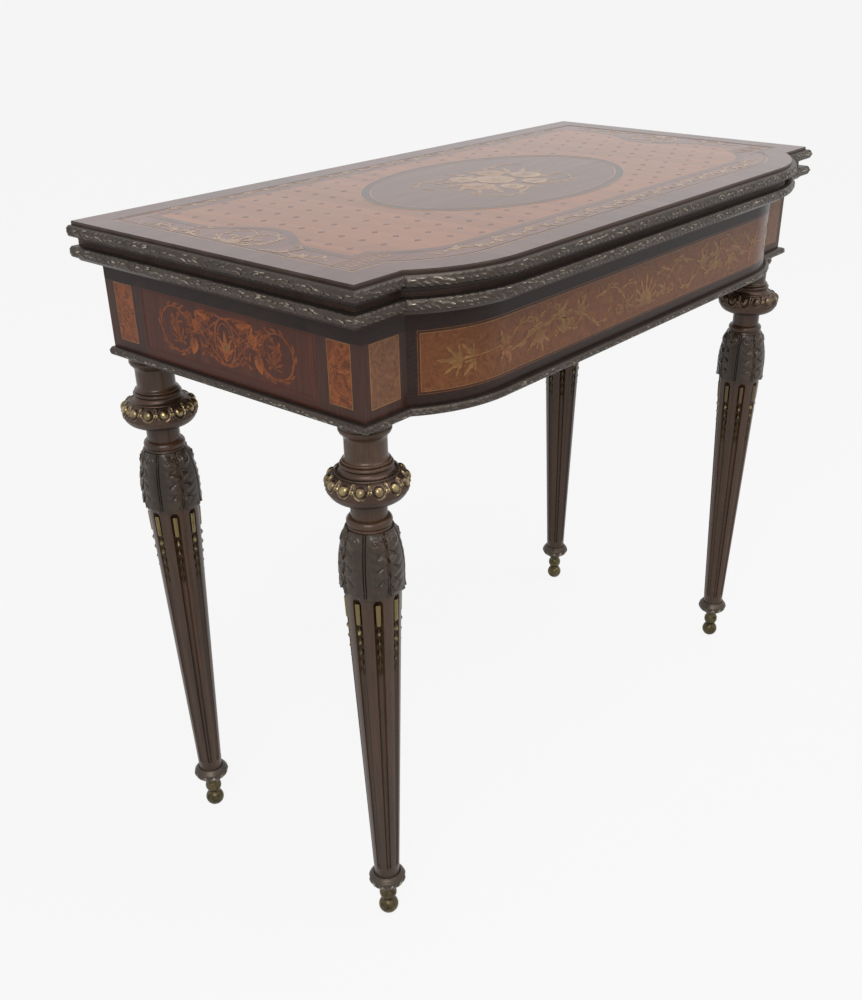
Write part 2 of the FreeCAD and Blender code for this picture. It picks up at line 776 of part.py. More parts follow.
# One leg, turned about Z, then set at the four corners
vase_widest_z = vase_bottom + vase_height * vase_widest_share
torus_middle_z = vase_top + torus_height / 2
foot_bore_radius = foot_spigot_radius + leg_fit
foot_spigot_top = foot_height + foot_spigot_height
leg_shaft = turned([
    (foot_bore_radius, foot_height),
    (foot_tenon_radius, foot_height),
    (foot_tenon_radius, shaft_bottom),
    (shaft_foot_radius, shaft_bottom),
    (shaft_top_radius, vase_bottom),
    (vase_radius, vase_widest_z, torus_foot_radius, vase_top),
    (torus_radius, torus_middle_z, shaft_neck_radius, shaft_neck_bottom),
    (shaft_neck_radius, collar_bottom),
    (spigot_radius, collar_bottom),
    (spigot_radius, spigot_top),
    (0, spigot_top),
    (0, foot_spigot_top),
    (foot_bore_radius, foot_spigot_top),
])
leg_bore = spigot_radius + leg_fit
collar_widest_z = collar_bottom + collar_height * collar_widest_share
leg_collar = turned([
    (leg_bore, collar_bottom),
    (collar_foot_radius, collar_bottom),
    (collar_radius, collar_widest_z, collar_top_radius, leg_neck_bottom),
    (leg_bore, leg_neck_bottom),
])
leg_flange_bottom = frame_bottom - leg_flange_height
leg_ring_top = leg_neck_bottom + leg_ring_height
leg_cove_bottom = leg_flange_bottom - leg_cove_height
cove_middle_radius = leg_cylinder_radius + (leg_flange_radius - leg_cylinder_radius) * leg_cove_share
leg_neck = turned([
    (leg_bore, leg_neck_bottom),
    (leg_ring_rim_radius, leg_neck_bottom),
    (leg_ring_radius, (leg_neck_bottom + leg_ring_top) / 2, leg_ring_rim_radius, leg_ring_top),
    (leg_cylinder_radius, leg_ring_top),
    (leg_cylinder_radius, leg_cove_bottom),
    (cove_middle_radius, (leg_cove_bottom + leg_flange_bottom) / 2, leg_flange_radius, leg_flange_bottom),
    (leg_flange_radius, frame_bottom),
    (leg_bore, frame_bottom),
])
ball_middle_z = math.sqrt(ball_radius ** 2 - ball_flat_radius ** 2)
ball_top = ball_middle_z + math.sqrt(ball_radius ** 2 - ball_waist_radius ** 2)
ball_foot = turned([
    (0, 0),
    (ball_flat_radius, 0),
    (ball_radius, ball_middle_z, ball_waist_radius, ball_top),
    (foot_neck_radius, foot_height),
    (foot_spigot_radius, foot_height),
    (foot_spigot_radius, foot_spigot_top),
    (0, foot_spigot_top),
])
foot_ring_middle_z = foot_height + foot_ring_height / 2
foot_ring = turned([
    (foot_tenon_radius + leg_fit, foot_height),
    (foot_ring_rim_radius, foot_height),
    (foot_ring_radius, foot_ring_middle_z, foot_ring_rim_radius, shaft_bottom),
    (foot_tenon_radius + leg_fit, shaft_bottom),
])

# Flutes follow the taper of the shaft; each holds a brass bar with a husk drop under it
shaft_length = vase_bottom - shaft_bottom
taper = (shaft_top_radius - shaft_foot_radius) / shaft_length


def shaft_point(drop):
    """Give the point on the shaft's surface a distance below its top."""
    return Vector(shaft_top_radius - taper * drop, 0, vase_bottom - drop)


def flute_radius(drop):
    """Give the radius of the flute's tool a distance below the top of the shaft."""
    share = (drop - flute_top_margin) / (shaft_length - flute_top_margin - flute_foot_margin)
    return flute_top_radius + (flute_foot_radius - flute_top_radius) * share


def taper_rod(drop_top, drop_foot, radius_top, radius_foot, sink_top=0, sink_foot=0):
    """Make a tapered round rod along the shaft's surface, or sunk below it."""
    start = shaft_point(drop_top) - right * sink_top
    end = shaft_point(drop_foot) - right * sink_foot
    return Part.makeCone(radius_top, radius_foot, (end - start).Length, start, end - start)


flute_foot_drop = shaft_length - flute_foot_margin
flute = taper_rod(flute_top_margin, flute_foot_drop, flute_top_radius, flute_foot_radius)
flute = flute.fuse([
    Part.makeSphere(flute_top_radius, shaft_point(flute_top_margin)),
    Part.makeSphere(flute_foot_radius, shaft_point(flute_foot_drop)),
])
leg_shaft = leg_shaft.cut(spun(flute, flute_count, 0))
bar_foot_drop = flute_top_margin + flute_bar_length
husk_foot_drop = bar_foot_drop + flute_husk_length
bar_top_radius = flute_top_radius * flute_bar_share
bar_foot_radius = flute_radius(bar_foot_drop) * flute_bar_share
husk_top_drop = bar_foot_drop - flute_husk_lap
husk_top_radius = bar_foot_radius * flute_husk_share
husk_tip_radius = bar_foot_radius * flute_husk_tip_share
bar_sink = flute_top_radius - bar_top_radius - flute_bar_gap
bar_foot_sink = flute_radius(bar_foot_drop) - bar_foot_radius - flute_bar_gap
husk_sink = flute_radius(husk_foot_drop) - husk_tip_radius - flute_bar_gap
flute_bar = taper_rod(
    flute_top_margin, bar_foot_drop, bar_top_radius, bar_foot_radius, bar_sink, bar_foot_sink
)
husk_drop = taper_rod(
    husk_top_drop, husk_foot_drop, husk_top_radius, husk_tip_radius, bar_foot_sink, husk_sink
)
flute_bar = flute_bar.fuse(husk_drop).removeSplitter()

# Acanthus leaf carved on the vase: a thin shell cut to a leaf outline and flared at its tip
leaf_top_z = vase_top - leaf_top_margin
leaf_tip_z = leaf_top_z - leaf_drop
leaf_shell = turned([
    (torus_foot_radius - leaf_sheet, leaf_top_z),
    (vase_radius - leaf_sheet, vase_widest_z, shaft_top_radius - leaf_sheet, leaf_tip_z),
    (shaft_top_radius + leaf_sheet + leaf_flare, leaf_tip_z),
    (vase_radius + leaf_sheet, vase_widest_z, torus_radius + leaf_sheet, leaf_top_z),
])
leaf_waist_z = leaf_tip_z + leaf_drop * (1 - leaf_waist_share)
leaf_reach = collar_radius
leaf_outline = [
    Vector(0, -leaf_tip_half_spread, leaf_top_z),
    Vector(0, leaf_tip_half_spread, leaf_top_z),
    Vector(0, leaf_half_spread, leaf_waist_z),
    Vector(0, 0, leaf_tip_z),
    Vector(0, -leaf_half_spread, leaf_waist_z),
]
leaf_blank = Part.Face(Part.makePolygon(leaf_outline + leaf_outline[:1])).extrude(right * leaf_reach)
acanthus_leaf = leaf_shell.common(leaf_blank).Solids[0]
leaf_turn = full_turn / flute_count / 2
leg_shaft = leg_shaft.fuse(spun(acanthus_leaf, leaf_count, leaf_turn)).removeSplitter()

flute_mounts = []
foot_rings = []
for end in ("front", "back"):
    for side, sign in (("left", -1), ("right", 1)):
        place = Vector(sign * leg_x, leg_y[end], 0)
        corner = end + "_" + side
        turn = -sign * leg_turn
        save(corner + "_leg", [moved(shaft, place) for shaft in spun(leg_shaft, 1, turn)])
        save(corner + "_leg_collar", [moved(leg_collar, place)])
        save(corner + "_leg_neck", [moved(leg_neck, place)])
        save(corner + "_ball_foot", [moved(ball_foot, place)])
        flute_mounts += [moved(bar, place) for bar in spun(flute_bar, flute_count, turn)]
        foot_rings.append(moved(foot_ring, place))
save("flute_mounts", flute_mounts)
save("foot_rings", foot_rings)
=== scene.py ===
"""Looks of a fold-over card table, built around its packed construction.

Lengths are metres; marquetry and turned work are drawn in millimetres and scaled by MM.
"""
import json
import logging
import math
from dataclasses import dataclass, field, replace
from enum import Enum
from functools import lru_cache
from typing import Iterator, Optional, Protocol, Sequence, Union

import bmesh
import bpy
import numpy as np
from mathutils import Matrix, Vector


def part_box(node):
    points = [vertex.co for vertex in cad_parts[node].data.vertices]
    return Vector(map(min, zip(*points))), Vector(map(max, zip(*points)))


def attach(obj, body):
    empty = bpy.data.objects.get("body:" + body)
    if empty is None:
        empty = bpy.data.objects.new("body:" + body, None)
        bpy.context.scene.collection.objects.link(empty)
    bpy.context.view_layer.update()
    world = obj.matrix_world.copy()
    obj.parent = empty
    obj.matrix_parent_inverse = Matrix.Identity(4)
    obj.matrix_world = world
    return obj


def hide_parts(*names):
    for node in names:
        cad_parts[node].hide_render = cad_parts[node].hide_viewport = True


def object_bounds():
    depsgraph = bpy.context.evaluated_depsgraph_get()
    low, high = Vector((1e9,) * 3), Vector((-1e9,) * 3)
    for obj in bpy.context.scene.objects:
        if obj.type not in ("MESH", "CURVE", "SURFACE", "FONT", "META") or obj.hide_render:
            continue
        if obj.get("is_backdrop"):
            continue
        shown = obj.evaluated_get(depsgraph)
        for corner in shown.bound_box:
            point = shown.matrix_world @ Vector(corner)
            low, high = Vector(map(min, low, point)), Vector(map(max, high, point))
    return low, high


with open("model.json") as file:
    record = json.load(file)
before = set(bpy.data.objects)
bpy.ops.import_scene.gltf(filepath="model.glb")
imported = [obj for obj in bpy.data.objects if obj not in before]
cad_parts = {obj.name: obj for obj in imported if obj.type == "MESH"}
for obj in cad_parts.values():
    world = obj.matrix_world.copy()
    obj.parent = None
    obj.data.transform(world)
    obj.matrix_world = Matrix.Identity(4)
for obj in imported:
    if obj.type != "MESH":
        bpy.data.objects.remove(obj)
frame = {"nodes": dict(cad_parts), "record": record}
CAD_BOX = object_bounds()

MM = 0.001
WELD = 1e-6
NOISE_SPAN = (0.34, 0.66)
LUCK_STEPS = (12.9898, 78.233)
LUCK_SPREAD = 43758.5453
LOG = logging.getLogger("card_table")
Colour = tuple[float, float, float]
Feed = Union["Signal", float, Sequence[float]]
SQUARE = np.array(((-1, -1), (1, -1), (1, 1), (-1, 1)))


class Signal:
    """A shader value that Python arithmetic can use; each operator adds a Math node."""

    def __init__(self, brush: "Brush", socket: Optional[bpy.types.NodeSocket]) -> None:
        """Keep the socket and the brush that owns its node tree."""
        self.brush = brush
        self.socket = socket

    def _math(self, operation: str, first: Feed, second: Feed) -> "Signal":
        """Give the result of a Math node on two values."""
        return self.brush.node("ShaderNodeMath", {"operation": operation}, {0: first, 1: second})

    def __add__(self, other: Feed) -> "Signal":
        """Add a value."""
        return self._math("ADD", self, other)

    def __sub__(self, other: Feed) -> "Signal":
        """Take a value away."""
        return self._math("SUBTRACT", self, other)

    def __rsub__(self, other: Feed) -> "Signal":
        """Take this from a value."""
        return self._math("SUBTRACT", other, self)

    def __mul__(self, other: Feed) -> "Signal":
        """Multiply by a value."""
        return self._math("MULTIPLY", self, other)

    __radd__ = __add__
    __rmul__ = __mul__

    def peak(self, other: Feed) -> "Signal":
        """Give the larger of this and another value."""
        return self._math("MAXIMUM", self, other)


class Brush:
    """Adds nodes to one material's or world's tree."""

    def __init__(self, tree: bpy.types.NodeTree) -> None:
        """Start from an empty tree."""
        self.tree = tree
        tree.nodes.clear()

    def node(self, kind: str, settings: dict, inputs: dict, output: Union[int, str] = 0) -> Signal:
        """Add one node.

        Args:
            kind: the node's type.
            settings: its properties, set first; "stops" are a ramp's positions and colours.
            inputs: values or signals for its sockets, by name or place.
            output: the output that is wanted.

        Returns:
            The output as a signal.
        """
        made = self.tree.nodes.new(kind)
        for key, value in settings.items():
            if key == "stops":
                elements = made.color_ramp.elements
                while len(elements) < len(value):
                    elements.new(1.0)
                for element, (position, colour) in zip(elements, value):
                    element.position = position
                    element.color = rgba(colour)
            else:
                setattr(made, key, value)
        for key, value in inputs.items():
            if isinstance(value, Signal):
                self.tree.links.new(value.socket, made.inputs[key])
            else:
                made.inputs[key].default_value = value
        return Signal(self, made.outputs[output] if made.outputs else None)

    def place(self, stretch: Sequence[float] = (1.0, 1.0, 1.0)) -> Signal:
        """Give the object coordinates, stretched along each axis."""
        spot = self.node("ShaderNodeTexCoord", {}, {}, "Object")
        return self.node("ShaderNodeVectorMath", {"operation": "MULTIPLY"}, {0: spot, 1: stretch})

    def noise(self, vector: Signal, scale: float, detail: float = 3.0, distortion: float = 0.0) -> Signal:
        """Give a noise value over stretched coordinates."""
        inputs = {"Vector": vector, "Scale": scale, "Detail": detail, "Distortion": distortion}
        return self.node("ShaderNodeTexNoise", {}, inputs)

    def ramp(self, value: Signal, stops: Sequence[tuple[float, Colour]]) -> Signal:
        """Turn a value into a colour along a ramp."""
        return self.node("ShaderNodeValToRGB", {"stops": stops}, {"Fac": value})

    def step(self, value: Signal, low: float, high: float) -> Signal:
        """Give a soft step from 0 at one value to 1 at another."""
        inputs = {"Value": value, "From Min": low, "From Max": high}
        return self.node("ShaderNodeMapRange", {"interpolation_type": "SMOOTHSTEP"}, inputs)

    def mix(self, first: Feed, second: Feed, factor: Feed) -> Signal:
        """Blend two colours."""
        return self.node("ShaderNodeMix", {"data_type": "RGBA"}, {0: factor, 6: first, 7: second}, 2)

    def attribute(self, name: str) -> Signal:
        """Read a value kept on the mesh's points."""
        return self.node("ShaderNodeAttribute", {"attribute_name": name}, {}, "Fac")

    def bump(self, height: Signal, strength: float, distance: float) -> Signal:
        """Give a normal that shows a height."""
        inputs = {"Strength": strength, "Distance": distance, "Height": height}
        return self.node("ShaderNodeBump", {}, inputs)

    def surface(self, inputs: dict) -> None:
        """End the tree in a Principled shader with these inputs."""
        shader = self.node("ShaderNodeBsdfPrincipled", {}, inputs)
        self.node("ShaderNodeOutputMaterial", {}, {"Surface": shader})


def rgba(colour: Colour) -> tuple[float, float, float, float]:
    """Add a full alpha to a colour."""
    return (*colour, 1.0)


def new_brush(name: str) -> tuple[bpy.types.Material, Brush]:
    """Make an empty material and a brush for it.

    Args:
        name: the material's name.

    Returns:
        The material and its brush.
    """
    material = bpy.data.materials.new(name)
    material.use_nodes = True
    return material, Brush(material.node_tree)


class Grain(Enum):
    """Which way the fibres of a wood run, as a stretch of its coordinates."""

    ALONG_X = (0.06, 1.0, 1.0)
    ALONG_Y = (1.0, 0.06, 1.0)
    ALONG_Z = (1.0, 1.0, 0.06)


@dataclass(frozen=True)
class Finish:
    """A named finish, which makes its material once."""

    name: str

    @lru_cache(maxsize=None)
    def material(self) -> bpy.types.Material:
        """Give the finish's material.

        Returns:
            The material, which is made at the first call.
        """
        material, brush = new_brush(self.name)
        self.paint(brush)
        return material

    def paint(self, brush: Brush) -> None:
        """Add the finish's nodes."""
        raise NotImplementedError


@dataclass(frozen=True)
class Wood(Finish):
    """A veneer or solid wood under polish, with figure, fibres and pores along its grain."""

    dark: Colour
    light: Colour
    grain: Grain = Grain.ALONG_X
    figure: float = 38.0
    polish: float = 0.22
    gloss: float = 0.08
    specular: float = 0.12
    roughness: float = 0.34
    scorch_and_shade: float = 0.0
    pore_depth: float = 0.55

    def paint(self, brush: Brush) -> None:
        """Add the wood's nodes.

        Args:
            brush: adds them to its material.
        """
        along = brush.place(self.grain.value)
        broad = brush.noise(along, self.figure, 4.0, 0.7)
        fibre = brush.noise(along, self.figure * 11, 3.0)
        pores = brush.noise(along, self.figure * 34, 2.0)
        tone = broad * 0.62 + fibre * 0.38
        colour = brush.ramp(tone, list(zip(NOISE_SPAN, (self.dark, self.light))))
        deep = rgba(tuple(channel * 0.4 for channel in self.dark))
        colour = brush.mix(colour, deep, brush.step(pores, 0.58, 0.72) * self.pore_depth)
        # Darkens where the relief value is low: sand-scorching on the marquetry, and painted shade in the
        # leg's flutes and in the carved leaves' hollows and undersides.
        if self.scorch_and_shade:
            shade = 1 - brush.step(brush.attribute("relief"), 0.0, 0.75)
            colour = brush.mix(colour, deep, shade * self.scorch_and_shade)
        normal = brush.bump(fibre * 0.5 + pores * 0.5, 0.12, 0.0003)
        brush.surface({
            "Base Color": colour,
            "Roughness": fibre * 0.16 + (self.roughness - 0.08),
            "Normal": normal,
            "Specular IOR Level": self.specular,
            "Coat Weight": self.polish,
            "Coat Roughness": self.gloss,
        })


@dataclass(frozen=True)
class Burl(Finish):
    """A burl veneer: swirling figure with small dark eyes under polish."""

    dark: Colour
    light: Colour
    swirl: float = 55.0
    polish: float = 0.22
    eyes: float = 0.7

    def paint(self, brush: Brush) -> None:
        """Add the burl's nodes.

        Args:
            brush: adds them to its material.
        """
        spot = brush.place()
        swirl = brush.noise(spot, self.swirl, 6.0, 3.2)
        fine = brush.noise(spot, self.swirl * 9, 3.0, 1.0)
        cells = {"Vector": spot, "Scale": self.swirl * 3.2}
        eyes = brush.node("ShaderNodeTexVoronoi", {}, cells, "Distance")
        colour = brush.ramp(swirl * 0.75 + fine * 0.25, [(0.36, self.dark), (0.64, self.light)])
        deep = rgba(tuple(channel * 0.35 for channel in self.dark))
        colour = brush.mix(colour, deep, (1 - brush.step(eyes, 0.06, 0.24)) * self.eyes)
        brush.surface({
            "Base Color": colour,
            "Roughness": fine * 0.2 + 0.24,
            "Normal": brush.bump(fine, 0.1, 0.0003),
            "Specular IOR Level": 0.12,
            "Coat Weight": self.polish,
            "Coat Roughness": 0.08,
        })


@dataclass(frozen=True)
class Metal(Finish):
    """A cast metal: dark patina in the hollows, bright where its relief value is high: rubbed wear, and on
    the edge mounts painted glints as well.
    """

    patina: Colour
    bright: Colour
    bright_from: float = 0.35
    bright_full: float = 0.95
    roughness: float = 0.5
    rubbed_and_glint: float = 0.24
    body: float = 0.85

    def paint(self, brush: Brush) -> None:
        """Add the metal's nodes.

        Args:
            brush: adds them to its material.
        """
        spot = brush.place()
        grime = brush.noise(spot, 210.0, 4.0, 0.4)
        blotch = brush.noise(spot, 36.0, 3.0)
        height = brush.attribute("relief") + (grime - 0.5) * 0.8 + (blotch - 0.5) * 0.6
        # Bright where the relief value is high: rubbed wear, and on the edge mounts painted glints as well.
        bright_share = brush.step(height, self.bright_from, self.bright_full)
        dull = brush.mix(rgba(self.patina), rgba(tuple(c * 1.7 for c in self.patina)), blotch)
        brush.surface({
            "Base Color": brush.mix(dull, rgba(self.bright), bright_share),
            "Metallic": bright_share * (1 - self.body) + self.body,
            "Roughness": grime * 0.14 + (self.roughness - 0.07) - bright_share * (self.roughness - self.rubbed_and_glint),
            "Normal": brush.bump(grime, 0.15, 0.0004),
        })


@dataclass(frozen=True)
class Cloth(Finish):
    """A felted cloth: a fine twill under a soft nap."""

    dark: Colour
    light: Colour
    nap: float = 0.5

    def paint(self, brush: Brush) -> None:
        """Add the cloth's nodes.

        Args:
            brush: adds them to its material.
        """
        twill = brush.noise(brush.place((1.0, 0.35, 1.0)), 2400.0, 2.0, 0.6)
        mottle = brush.noise(brush.place(), 30.0, 5.0)
        colour = brush.ramp(twill * 0.6 + mottle * 0.4, list(zip(NOISE_SPAN, (self.dark, self.light))))
        brush.surface({
            "Base Color": colour,
            "Roughness": mottle * 0.1 + 0.85,
            "Normal": brush.bump(twill, 0.5, 0.0004),
            "Sheen Weight": self.nap,
            "Sheen Roughness": 0.5,
        })


TOP_POLISH = 0.45
DARK_FRONT = Wood("dark_front_veneer", (0.017, 0.009, 0.007), (0.040, 0.021, 0.016), polish=0.12)
LEAF_EDGES = Wood("dark_leaf_edges", (0.036, 0.022, 0.017), (0.082, 0.050, 0.038))
FRONT_BAND = Wood(
    "front_crossband", (0.062, 0.028, 0.022), (0.125, 0.060, 0.050), Grain.ALONG_Y, polish=TOP_POLISH,
)
SIDE_BAND = replace(FRONT_BAND, name="side_crossband", grain=Grain.ALONG_X)
# A black band whose darkness is partly painted shade under the leaves' overhang.
SHADED_BLACK_BAND = Wood("black_band_veneer", (0.015, 0.008, 0.0065), (0.034, 0.018, 0.0145), polish=0.1)
RED_ENDS = Wood("red_end_veneer", (0.046, 0.015, 0.010), (0.098, 0.031, 0.020), Grain.ALONG_Y, polish=0.14)
POSTS = Wood("brown_post_veneer", (0.034, 0.014, 0.010), (0.076, 0.031, 0.022), Grain.ALONG_Z, polish=0.16)
# Stained leg wood; its scorch value paints shade into the bottoms of the flutes.
STAINED = Wood(
    "stained_leg_wood", (0.033, 0.016, 0.008), (0.084, 0.042, 0.022), Grain.ALONG_Z,
    polish=0.3, gloss=0.2, specular=0.24, roughness=0.4, scorch_and_shade=0.8,
)
# Carved leaf wood: its high scorch value paints shade into the carving's hollows and under the leaves, and
# its lighter colour stands as painted highlight on the raised carving.
CARVED = replace(
    STAINED, name="carved_leaf_wood", dark=(0.023, 0.014, 0.008), light=(0.066, 0.042, 0.026), scorch_and_shade=0.9,
)
MAHOGANY = Wood("plain_mahogany", (0.085, 0.028, 0.014), (0.17, 0.065, 0.033))
OAK = Wood("bare_oak", (0.24, 0.15, 0.075), (0.40, 0.27, 0.15), Grain.ALONG_Y, polish=0.0, roughness=0.62)
BURR = Burl("tan_burl", (0.095, 0.024, 0.008), (0.30, 0.086, 0.023))
EAR_BURR = Burl("brown_burl", (0.125, 0.052, 0.024), (0.225, 0.098, 0.048), 70.0, eyes=0.25)
BRONZE = Metal("patinated_bronze", (0.056, 0.044, 0.036), (0.44, 0.38, 0.28), 0.56, 1.02, 0.42, 0.26)
# Edge bronze: its bright colour, laid on the leaves' ridges, stands for rubbed metal together with painted
# glints.
EDGE_BRONZE = Metal("edge_bronze", (0.050, 0.040, 0.034), (0.48, 0.42, 0.33), 0.36, 0.98, 0.42, 0.27)
GILT = Metal("gilt_bronze", (0.056, 0.036, 0.027), (0.36, 0.285, 0.135), 0.42, 1.0, 0.42, 0.13)
# A darker copy of the gilt for the right legs, as painted shade.
SHADED_GILT = replace(GILT, name="dull_gilt_bronze", bright=(0.20, 0.165, 0.090), bright_from=0.6)
BRASS = Metal("aged_brass", (0.050, 0.038, 0.017), (0.36, 0.285, 0.15), 0.4, 1.0, 0.42, 0.24)
FOOT_BRASS = Metal("worn_foot_brass", (0.028, 0.023, 0.014), (0.155, 0.122, 0.060), 0.55, 1.15, 0.44, 0.3)
FLUTE_BRASS = Metal("flute_brass", (0.056, 0.043, 0.021), (0.185, 0.142, 0.064), 0.45, 0.95, 0.42, 0.28)
# A darker copy of the flute brass for the right legs, as painted shade.
SHADED_FLUTE_BRASS = replace(FLUTE_BRASS, name="dull_flute_brass", bright=(0.115, 0.082, 0.048))
IRON = Metal("oiled_iron", (0.05, 0.048, 0.047), (0.16, 0.155, 0.15), 0.5, 1.1, 0.5, 0.35)
BAIZE = Cloth("green_baize", (0.008, 0.055, 0.024), (0.020, 0.105, 0.046))
FELT = Cloth("grey_felt", (0.07, 0.066, 0.058), (0.15, 0.14, 0.12))
LINING = Cloth("red_lining", (0.10, 0.012, 0.012), (0.20, 0.032, 0.028), 0.2)


class Tone(Enum):
    """The veneers that the marquetry is cut from."""

    BOXWOOD = Wood("boxwood_inlay", (0.21, 0.112, 0.050), (0.40, 0.235, 0.120), figure=70.0, scorch_and_shade=0.6)
    TAN = Wood("tan_inlay", (0.19, 0.088, 0.029), (0.35, 0.172, 0.060), figure=70.0, scorch_and_shade=0.7)
    PADAUK = Wood("padauk_inlay", (0.15, 0.040, 0.014), (0.28, 0.082, 0.028), figure=70.0, scorch_and_shade=0.7)
    GINGER = Wood("ginger_inlay", (0.25, 0.066, 0.018), (0.40, 0.125, 0.036), figure=70.0, scorch_and_shade=0.6)
    COPPER = Wood("copper_inlay", (0.19, 0.072, 0.024), (0.34, 0.142, 0.050), figure=70.0, scorch_and_shade=0.6)
    RUST = Wood("rust_line", (0.062, 0.011, 0.005), (0.115, 0.022, 0.010))
    HAREWOOD = Wood("harewood_inlay", (0.070, 0.027, 0.016), (0.132, 0.054, 0.033))
    UMBER = Wood("umber_line", (0.026, 0.010, 0.006), (0.062, 0.025, 0.014))
    TULIPWOOD = Wood("tulipwood_field", (0.165, 0.055, 0.018), (0.280, 0.100, 0.038), Grain.ALONG_Y, 46.0)
    KINGWOOD = Wood("kingwood_border", (0.095, 0.038, 0.027), (0.175, 0.075, 0.054))
    AMBER = Burl("amber_front_ground", (0.112, 0.038, 0.013), (0.192, 0.067, 0.023), 62.0, eyes=0.2)
    AMARANTH = Wood("amaranth_ground", (0.050, 0.016, 0.010), (0.108, 0.034, 0.021), Grain.ALONG_Z)


class Surface:
    """Points, faces and relief of one piece as they are gathered."""

    def __init__(self) -> None:
        """Start with nothing."""
        self.points: list[np.ndarray] = []
        self.faces: list[list[int]] = []
        self.relief: list[np.ndarray] = []
        self.count = 0

    def add(self, points: np.ndarray, faces: Sequence[Sequence[int]], relief: np.ndarray) -> None:
        """Add points with their own faces.

        Args:
            points: places, one row each.
            faces: corners of each face, counted from these points.
            relief: how far each point stands up, from 0 to 1.
        """
        self.points.append(points.reshape(-1, 3))
        self.relief.append(np.broadcast_to(relief, points.shape[:-1]).reshape(-1))
        self.faces += (np.asarray(faces) + self.count).tolist()
        self.count += self.points[-1].shape[0]

    def grid(self, points: np.ndarray, relief: Union[np.ndarray, float] = 0.0, close: bool = True,
             caps: bool = True) -> None:
        """Add a net of quads.

        Args:
            points: places by row and column.
            relief: how far each stands up.
            close: joins the last column to the first.
            caps: closes the first and last rows with a face.
        """
        rows, columns = points.shape[:2]
        index = np.arange(rows * columns).reshape(rows, columns)
        ring = np.concatenate([index, index[:, :1]], 1) if close else index
        quads = np.stack([ring[:-1, :-1], ring[:-1, 1:], ring[1:, 1:], ring[1:, :-1]], -1)
        first = self.count
        self.add(points, quads.reshape(-1, 4), np.broadcast_to(relief, points.shape[:2]))
        if caps:
            self.faces += [(index[0] + first).tolist(), (index[-1] + first).tolist()]

    @classmethod
    def net(cls, points: np.ndarray, relief: Union[np.ndarray, float] = 0.0) -> "Surface":
        """Start with one closed and capped net of quads.

        Args:
            points: places by row and column.
            relief: how far each stands up.

        Returns:
            The surface.
        """
        surface = cls()
        surface.grid(points, relief)
        return surface

    def piece(self, name: str, finish: Finish, body: str, slot: str, replaces: Sequence[str] = (),
              crease: float = 38.0) -> bpy.types.Object:
        """Make the gathered surface into a piece that rides on a body.

        Args:
            name: the piece's name.
            finish: what dresses it.
            body: the body that carries it.
            slot: the record's material slot; not used.
            replaces: construction nodes that it stands for.
            crease: edges sharper than this many degrees stay sharp.

        Returns:
            The piece.
        """
        mesh = bpy.data.meshes.new(name)
        mesh.from_pydata(np.concatenate(self.points).tolist(), [], self.faces)
        relief = mesh.attributes.new("relief", "FLOAT", "POINT")
        relief.data.foreach_set("value", np.concatenate(self.relief).astype(np.float32))
        work = bmesh.new()
        work.from_mesh(mesh)
        bmesh.ops.remove_doubles(work, verts=work.verts, dist=WELD)
        bmesh.ops.recalc_face_normals(work, faces=work.faces)
        work.to_mesh(mesh)
        work.free()
        mesh.shade_smooth()
        mesh.set_sharp_from_angle(angle=math.radians(crease))
        mesh.materials.append(finish.material())
        made = bpy.data.objects.new(name, mesh)
        bpy.context.scene.collection.objects.link(made)
        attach(made, body)
        if replaces:
            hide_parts(*replaces)
        LOG.info("%s: %d faces on %s", name, len(mesh.polygons), body)
        return made


